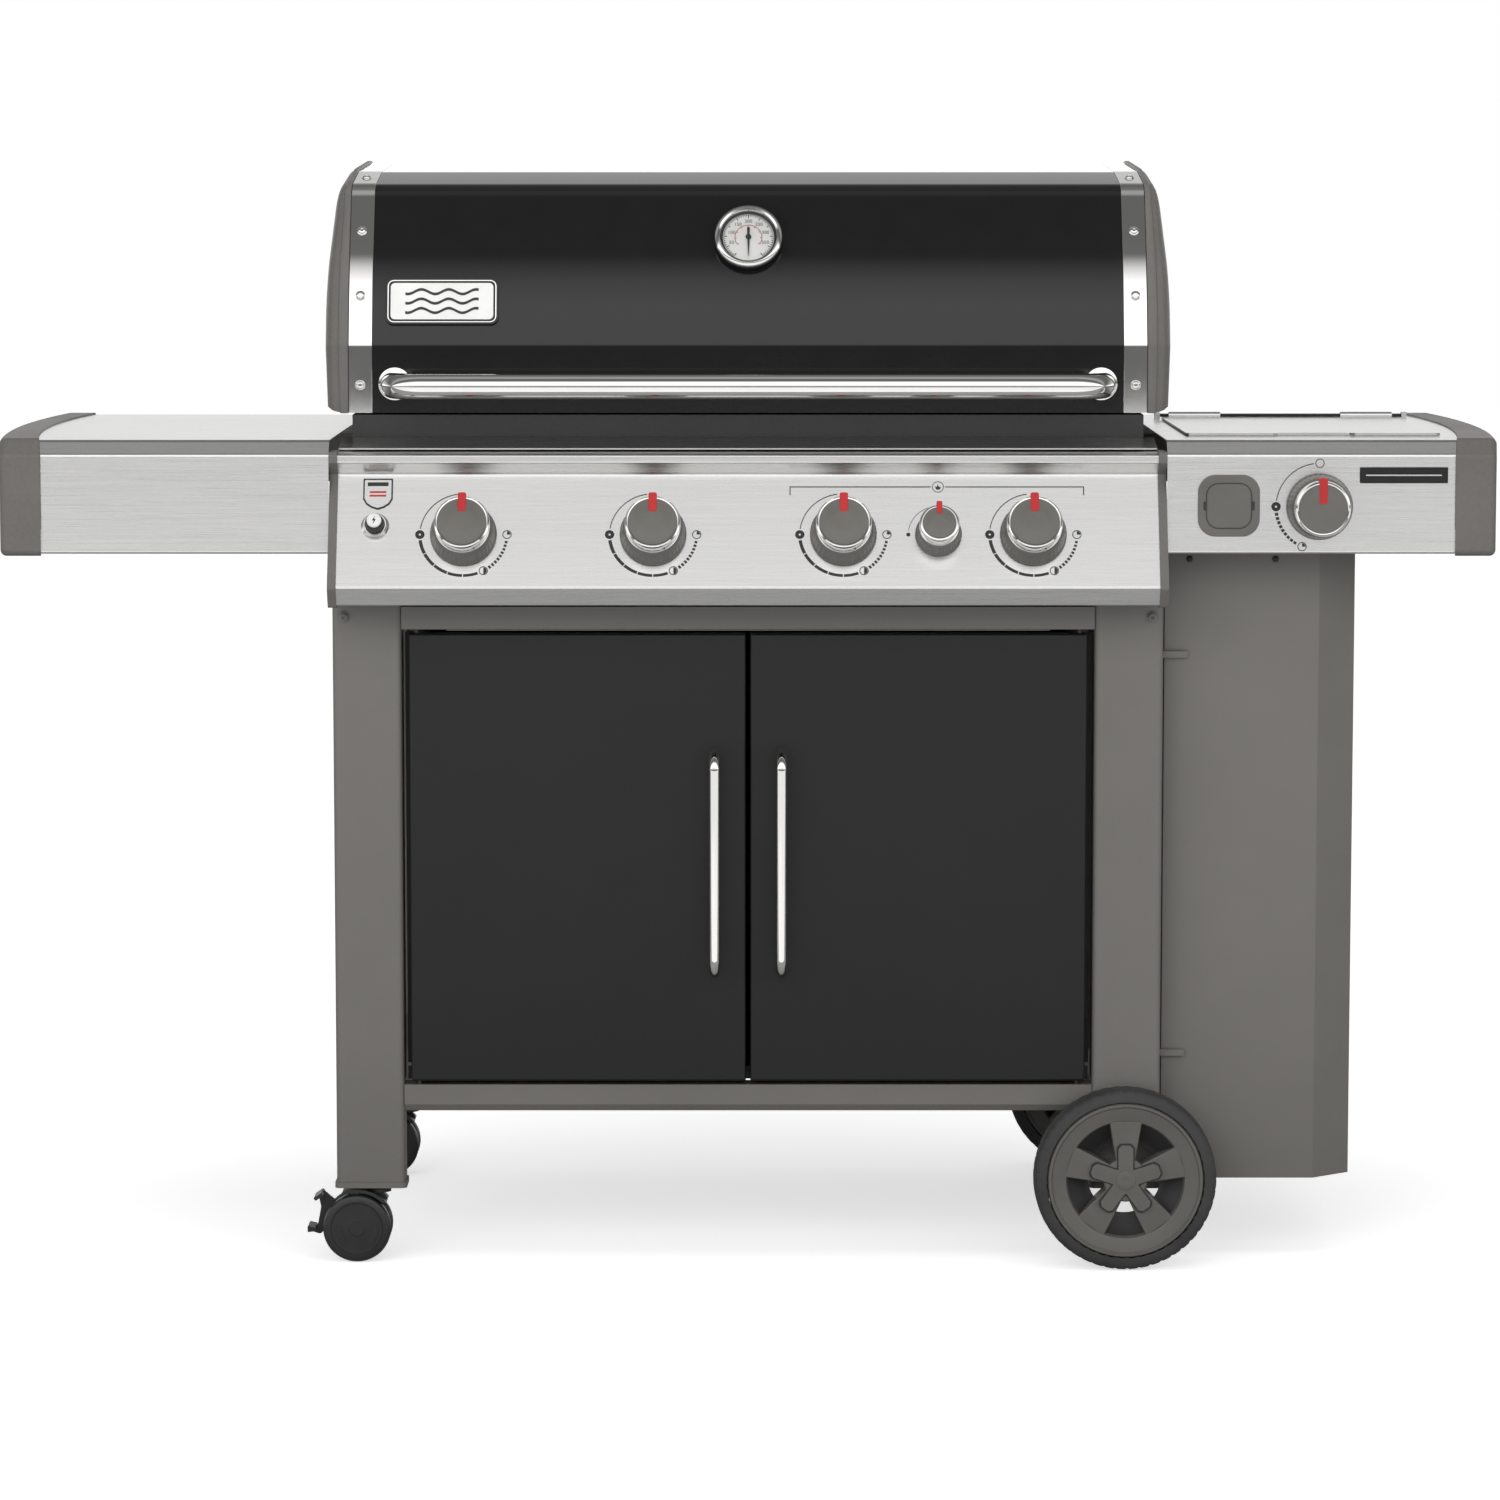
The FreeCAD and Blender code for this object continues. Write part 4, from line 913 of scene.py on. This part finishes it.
# handles
handle = {"y": -0.320, "z": 0.968, "reach": 0.385, "bar": 0.0140, "bezel": 0.0185, "bend": 0.034}
for side in (-1, 1):
    word = "Left" if side < 0 else "Right"
    bm = bmesh.new()
    grown = handle["bezel"]
    profile = [(grown, 0.0002), (grown, 0.0040), (grown - 0.0008, 0.0056), (grown - 0.0030, 0.0064),
               (handle["bar"] - 0.0002, 0.0066)]
    lathe(bm, profile, 64)
    spot = Vector((side * handle["reach"], lidShape["front"], handle["z"]))
    turn = Matrix((Vector((1, 0, 0)), Vector((0, 0, 1)), Vector((0, -1, 0)))).transposed().to_4x4()
    addPiece("handleBezel" + word, settle(bm, Matrix.Translation(spot) @ turn), "lid", "chrome", "chrome", 40)
bm = bmesh.new()
path = bentPath([Vector((-handle["reach"], lidShape["front"] - 0.0010, handle["z"])),
                 Vector((-handle["reach"], handle["y"], handle["z"])),
                 Vector((handle["reach"], handle["y"], handle["z"])),
                 Vector((handle["reach"], lidShape["front"] - 0.0010, handle["z"]))], handle["bend"], 20)
tube(bm, path, handle["bar"], 40)
addPiece("lidHandleBar", bm, "lid", "chrome", "stainless", 40, stands=("lid_handle",))

pull = {"bar": 0.0060, "bend": 0.016}
for side in (-1, 1):
    word = "Left" if side < 0 else "Right"
    low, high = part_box(word.lower() + "_door_handle")
    bm = bmesh.new()
    face = high.y
    top = high.z - pull["bar"]
    bottom = low.z + pull["bar"]
    middle = (low.x + high.x) / 2
    reach = low.y + pull["bar"]
    path = bentPath([Vector((middle, face, bottom)), Vector((middle, reach, bottom)),
                     Vector((middle, reach, top)), Vector((middle, face, top))], pull["bend"], 14)
    tube(bm, path, pull["bar"], 28)
    addPiece("doorPull" + word, bm, word.lower() + "_door", "chrome", "stainless", 40,
             stands=(word.lower() + "_door_handle",))
print("handles made")


# big wheels
wheelShape = {"rim": 0.0860, "window": 0.0640, "tyre": 0.1000, "width": 0.0400, "spokes": 5,
              "spokeWide": 0.0255, "dish": 0.0400,
              "hub": 0.0240, "star": 0.0390, "starWide": 0.0165}


def wheelFrame(centre, facing):  # local Z points out of the front of the cart
    turn = Matrix((Vector((facing, 0, 0)), Vector((0, 0, 1)), Vector((0, -facing, 0)))).transposed().to_4x4()
    return Matrix.Translation(centre) @ turn


def spokeOutline(inner, outer, wideIn, wideOut, angle):
    c, s = math.cos(angle), math.sin(angle)
    points = [(inner, -wideIn / 2), (outer, -wideOut / 2), (outer, wideOut / 2), (inner, wideIn / 2)]
    return [(x * c - y * s, x * s + y * c) for x, y in points]


def starOutline(reach, inner):
    star = []
    for i in range(wheelShape["spokes"]):
        angle = math.pi / 2 + math.tau * i / wheelShape["spokes"]
        c, s = math.cos(angle), math.sin(angle)
        for x, y in ((inner * 1.5, -inner), (reach - 0.004, -inner), (reach, -inner + 0.004),
                     (reach, inner - 0.004), (reach - 0.004, inner), (inner * 1.5, inner)):
            star.append((x * c - y * s, x * s + y * c))
    return star


def makeWheel(word, node, tyreNode, body, joint):
    centre = Vector(joints[joint]["pos_m"])
    low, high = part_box(tyreNode)
    centre.y = (low.y + high.y) / 2
    place = wheelFrame(centre, 1)
    shape = wheelShape
    half = shape["width"] / 2

    bm = bmesh.new()
    profile = [(shape["rim"], -half + 0.004), (shape["rim"] - 0.0004, half - 0.0030),
               (shape["rim"] - 0.0018, half - 0.0012), (shape["rim"] - 0.0044, half - 0.0012),
               (shape["rim"] - 0.0060, half - 0.0034), (shape["window"] + 0.0060, half - 0.0052),
               (shape["window"] + 0.0012, half - 0.0066), (shape["window"] - 0.0010, half - 0.0110),
               (shape["window"] + 0.0020, -half + 0.0022), (shape["rim"] - 0.0020, -half + 0.0022),
               (shape["rim"], -half + 0.004)]
    lathe(bm, profile, 120)
    addPiece(word + "WheelRim", settle(bm, place), body, "plastic", "dark_plastic", 40, stands=(node,))
    # the dish is a real recessed web, but its near-black finish, darker than the rest of the wheel, paints the
    # shade of the recess
    bm = bmesh.new()
    lathe(bm, [(shape["window"] - 0.0002, half - 0.0120), (shape["dish"] + 0.0060, -half + 0.0130),
               (shape["dish"], -half + 0.0120), (shape["dish"] + 0.0010, -half + 0.0080),
               (shape["window"] - 0.0002, -half + 0.0060)], 96)
    addPiece(word + "WheelDish", settle(bm, place), body, "casterPlastic", "dark_plastic", 40)

    bm = bmesh.new()
    for i in range(shape["spokes"]):
        angle = math.pi / 2 + math.tau * i / shape["spokes"]
        slab(bm, spokeOutline(shape["hub"] * 0.8, shape["window"] + 0.0010, shape["spokeWide"] * 0.80,
                              shape["spokeWide"] * 1.42, angle), -half + 0.0045, half - 0.0066)
    addPiece(word + "WheelSpokes", settle(bm, place), body, "plastic", "dark_plastic", 35, bevel=0.0016)

    bm = bmesh.new()
    hub = shape["hub"]
    lathe(bm, [(0, -half + 0.0020), (hub * 0.8, -half + 0.0020), (hub, -half + 0.0045), (hub, half - 0.0048),
               (hub - 0.0015, half - 0.0034), (0.010, half - 0.0032), (0, half - 0.0032)], 80)
    addPiece(word + "WheelHub", settle(bm, place), body, "plastic", "dark_plastic", 35)

    # StarGroove is a recessed outline round the star; its near-black finish paints the shade in the groove
    for part, grown, top, finish in (("StarGroove", 0.0013, half - 0.0026, "casterPlastic"),
                                     ("Star", 0.0, half - 0.0010, "knobPlastic")):
        bm = bmesh.new()
        slab(bm, starOutline(shape["star"] + grown, shape["starWide"] / 2 + grown), half - 0.0062, top)
        addPiece(word + "Wheel" + part, settle(bm, place), body, finish, "dark_plastic", 35, bevel=0.0008)
    bm = bmesh.new()
    boss = [(0.0105, half - 0.0012), (0.0105, half - 0.0004), (0.0090, half), (0.0030, half),
            (0, half - 0.0006)]
    lathe(bm, boss, 48)
    addPiece(word + "WheelBoss", settle(bm, place), body, "plastic", "dark_plastic", 40)

    bm = bmesh.new()
    outer = shape["tyre"]
    tread = []
    halfTread = [(0.22, 0.1), (0.25, 0.0985), (0.31, 0.0985), (0.34, 0.1), (0.50, 0.1), (0.74, 0.0993),
                 (0.90, 0.0972), (0.98, 0.0925), (1.0, 0.0870)]  # from the middle out to the shoulder
    mirrored = [(-share, reach) for share, reach in reversed(halfTread)]
    for share, reach in mirrored + halfTread:
        tread.append((min(reach, outer), share * (half - 0.0002)))

    def blocks(angle, height):  # cross grooves on the shoulders
        edge = abs(height) > half * 0.45 and abs(height) < half * 0.97
        return -0.0012 if edge and math.sin(angle * 48) > 0.75 else 0

    lathe(bm, [(shape["rim"] + 0.0003, -half + 0.0015)] + tread + [(shape["rim"] + 0.0003, half - 0.0015)],
          240, blocks)
    addPiece(word + "WheelTyre", settle(bm, place), body, "rubber", "tyre_rubber", 42, stands=(tyreNode,))


makeWheel("front", "front_wheel", "front_tyre", "front_wheel", "front_wheel_roll")
makeWheel("rear", "rear_wheel", "rear_tyre", "rear_wheel", "rear_wheel_roll")
print("wheels made")


# casters
caster = {"wheel": 0.0375, "half": 0.0090, "gap": 0.0150, "disc": 0.0255, "slotIn": 0.0170, "slotOut": 0.0232}


def makeCaster(word):
    name = word + "_caster"
    hub = Vector(joints[name + "_roll"]["pos_m"])
    body = name + "_wheel"
    shape = caster
    for offset, mark in ((-shape["gap"], "Front"), (shape["gap"], "Back")):
        facing = -1 if offset < 0 else 1
        place = wheelFrame(hub + Vector((0, offset, 0)), 1 if facing < 0 else -1)
        half = shape["half"]
        outer = shape["wheel"]
        bm = bmesh.new()
        profile = [(0, -half + 0.0005), (outer - 0.004, -half + 0.0001), (outer - 0.0015, -half + 0.0012),
                   (outer, -half + 0.004), (outer, half - 0.0045), (outer - 0.0016, half - 0.0016),
                   (outer - 0.0050, half - 0.0002), (shape["disc"] + 0.0035, half - 0.0002),
                   (shape["disc"] + 0.0026, half - 0.0014), (shape["disc"], half - 0.0016),
                   (0.0085, half - 0.0008), (0.0078, half - 0.0001), (0, half - 0.0001)]
        lathe(bm, profile, 96)
        addPiece(word + "CasterTread" + mark, settle(bm, place), body, "casterPlastic", "black_plastic", 32,
                 stands=(name + "_wheel",))
        # painted shade: the slots are thin black marks on the wheel face, standing in for the shade inside the
        # slot openings
        bm = bmesh.new()
        for start in (172, 308):
            slab(bm, arcBand(shape["slotIn"], shape["slotOut"], start, start + 60, 16), half - 0.0015,
                 half - 0.0004)
        addPiece(word + "CasterSlots" + mark, settle(bm, place), body, "blackInk", "black_plastic", 40)


makeCaster("front")
makeCaster("rear")
print("casters made")


# finishes of the carried-over CAD nodes ---------------------------------
nodeFinish = {
    "graphite": ["cart_legs", "leg_end_caps", "cart_rails", "tank_panel"],
    "innerBlack": ["cabinet_floor", "cabinet_panels", "hinge_pins"],
    "boxCasting": ["cookbox"],
    "grateIron": ["cooking_grates", "side_burner_grate"],
    "steelAcross": ["heat_deflectors", "burner_tubes", "control_panel", "panel_apron", "left_table",
                    "right_table", "side_burner_pan", "side_burner_lid"],
    "panMetal": ["gas_manifold", "wheel_axle", "grease_tray"],
    "brass": ["gas_valves", "side_burner"],
    "chrome": ["warming_rack"],
    "capCasting": ["panel_end_caps", "table_end_caps"],
    "doorBlack": ["left_door", "right_door"],
    "casterPlastic": ["front_caster_fork", "rear_caster_fork", "front_caster_brake",
                      "rear_caster_brake"],
}
for finish, names in nodeFinish.items():
    for node in names:
        held = bpy.data.objects[node].data.materials
        count = max(len(held), 1)
        held.clear()
        for k in range(count):
            held.append(finishes[finish])
print("finishes given to", sum(len(names) for names in nodeFinish.values()), "nodes")


# floor, light and camera
bm = bmesh.new()
reach = 20.0
for x, y in ((-reach, -reach), (reach, -reach), (reach, reach), (-reach, reach)):
    bm.verts.new((x, y, -0.0005))
bm.faces.new(bm.verts)
mesh = bpy.data.meshes.new("floor")
bm.to_mesh(mesh)
bm.free()
paper = Finish("floorPaper")
fibre = paper.noise(60.0, 3.0)
tone = paper.ramp(fibre, [(0.2, (0.86, 0.86, 0.86)), (0.8, (0.90, 0.90, 0.90))])
paper.surface({"Base Color": tone, "Roughness": 0.9, "Emission Color": (1, 1, 1, 1),
               "Emission Strength": 0.60})
bright = paper.tree.nodes["Principled BSDF"]
# painted shade: mirrored in the metal the floor near the grill is a dim grey, darker than the camera sees it,
# standing in for its shade; well out in front it stays bright
dim = paper.node("ShaderNodeBsdfDiffuse", {}, {"Color": (0.50, 0.50, 0.50, 1)})
across = paper.wire(paper.node("ShaderNodeSeparateXYZ", {}, {"Vector": paper.place}), "Y")
seen = paper.wire(paper.node("ShaderNodeLightPath"), "Is Camera Ray")
far = (0 - across).above(1.25)
share = paper.wire(paper.node("ShaderNodeMath", {"operation": "MAXIMUM"}, {0: seen, 1: far}))
mixed = paper.node("ShaderNodeMixShader", {}, {"Fac": share, 1: paper.wire(dim)})
paper.tree.links.new(bright.outputs[0], mixed.inputs[2])
paper.tree.links.new(mixed.outputs[0], paper.tree.nodes["Material Output"].inputs[0])
mesh.materials.append(paper.material)
floor = bpy.data.objects.new("floor", mesh)
bpy.context.scene.collection.objects.link(floor)

sky = {"white": 1.0, "gain": 1.0}
world = bpy.data.worlds.new("studio")
bpy.context.scene.world = world
studio = Finish("studio", world)
coords = studio.node("ShaderNodeTexCoord")
parts = studio.node("ShaderNodeSeparateXYZ", {}, {"Vector": studio.wire(coords, "Generated")})
front = studio.wire(parts, "Y") * -1
tilt = studio.node("ShaderNodeMath", {"operation": "ARCTAN2"}, {0: studio.wire(parts, "Z"), 1: front})
turnShare = studio.wire(tilt) * (1 / math.pi)
# brightness of the studio by height: 0 is the horizon in front, 90 overhead, 180 the horizon behind
levels = [(0, 0.16), (5, 0.36), (13, 1.40), (30, 1.90), (40, 1.48), (47, 0.84), (53, 0.16), (70, 0.16),
          (80, 0.42), (92, 0.44), (104, 0.20), (130, 0.14), (150, 0.30), (158, 0.56), (166, 0.66),
          (171, 1.00), (175, 1.70), (180, 1.95)]
band = studio.ramp(turnShare, [(angle / 180, float(value) / 2) for angle, value in levels])
glow = studio.node("ShaderNodeBackground", {}, {"Color": band, "Strength": 2.0 * sky["gain"]})
plain = studio.node("ShaderNodeBackground", {}, {"Color": (1, 1, 1, 1), "Strength": sky["white"]})
rays = studio.node("ShaderNodeLightPath")
both = studio.node("ShaderNodeMixShader", {}, {0: studio.wire(rays, "Is Camera Ray"), 1: studio.wire(glow),
                                               2: studio.wire(plain)})
end = studio.node("ShaderNodeOutputWorld")
studio.tree.links.new(both.outputs[0], end.inputs[0])

lamps = [("overheadSoftbox", (0, -0.4, 3.6), (0, 0, 0.6), (3.2, 2.4), 42.0),
         ("frontSoftbox", (-1.6, -4.4, 2.2), (0, 0, 0.7), (2.4, 1.8), 22.0)]
for name, spot, aim, size, power in lamps:
    light = bpy.data.lights.new(name, "AREA")
    light.shape = "RECTANGLE"
    light.size, light.size_y = size
    light.energy = power
    lamp = bpy.data.objects.new(name, light)
    lamp.visible_glossy = False
    lamp.location = spot
    lamp.rotation_euler = (Vector(aim) - Vector(spot)).to_track_quat("-Z", "Y").to_euler()
    bpy.context.scene.collection.objects.link(lamp)

view = {"spot": (0.0022, -6.144, 1.216), "pitch": 83.712, "lens": 129.6, "sensor": 36.0}
camera = bpy.data.cameras.new("camera")
camera.lens = view["lens"]
camera.sensor_width = view["sensor"]
eye = bpy.data.objects.new("camera", camera)
eye.location = view["spot"]
eye.rotation_euler = (math.radians(view["pitch"]), 0, 0)
bpy.context.scene.collection.objects.link(eye)
bpy.context.scene.camera = eye
bpy.context.scene.view_settings.view_transform = "Standard"
print("stage set")
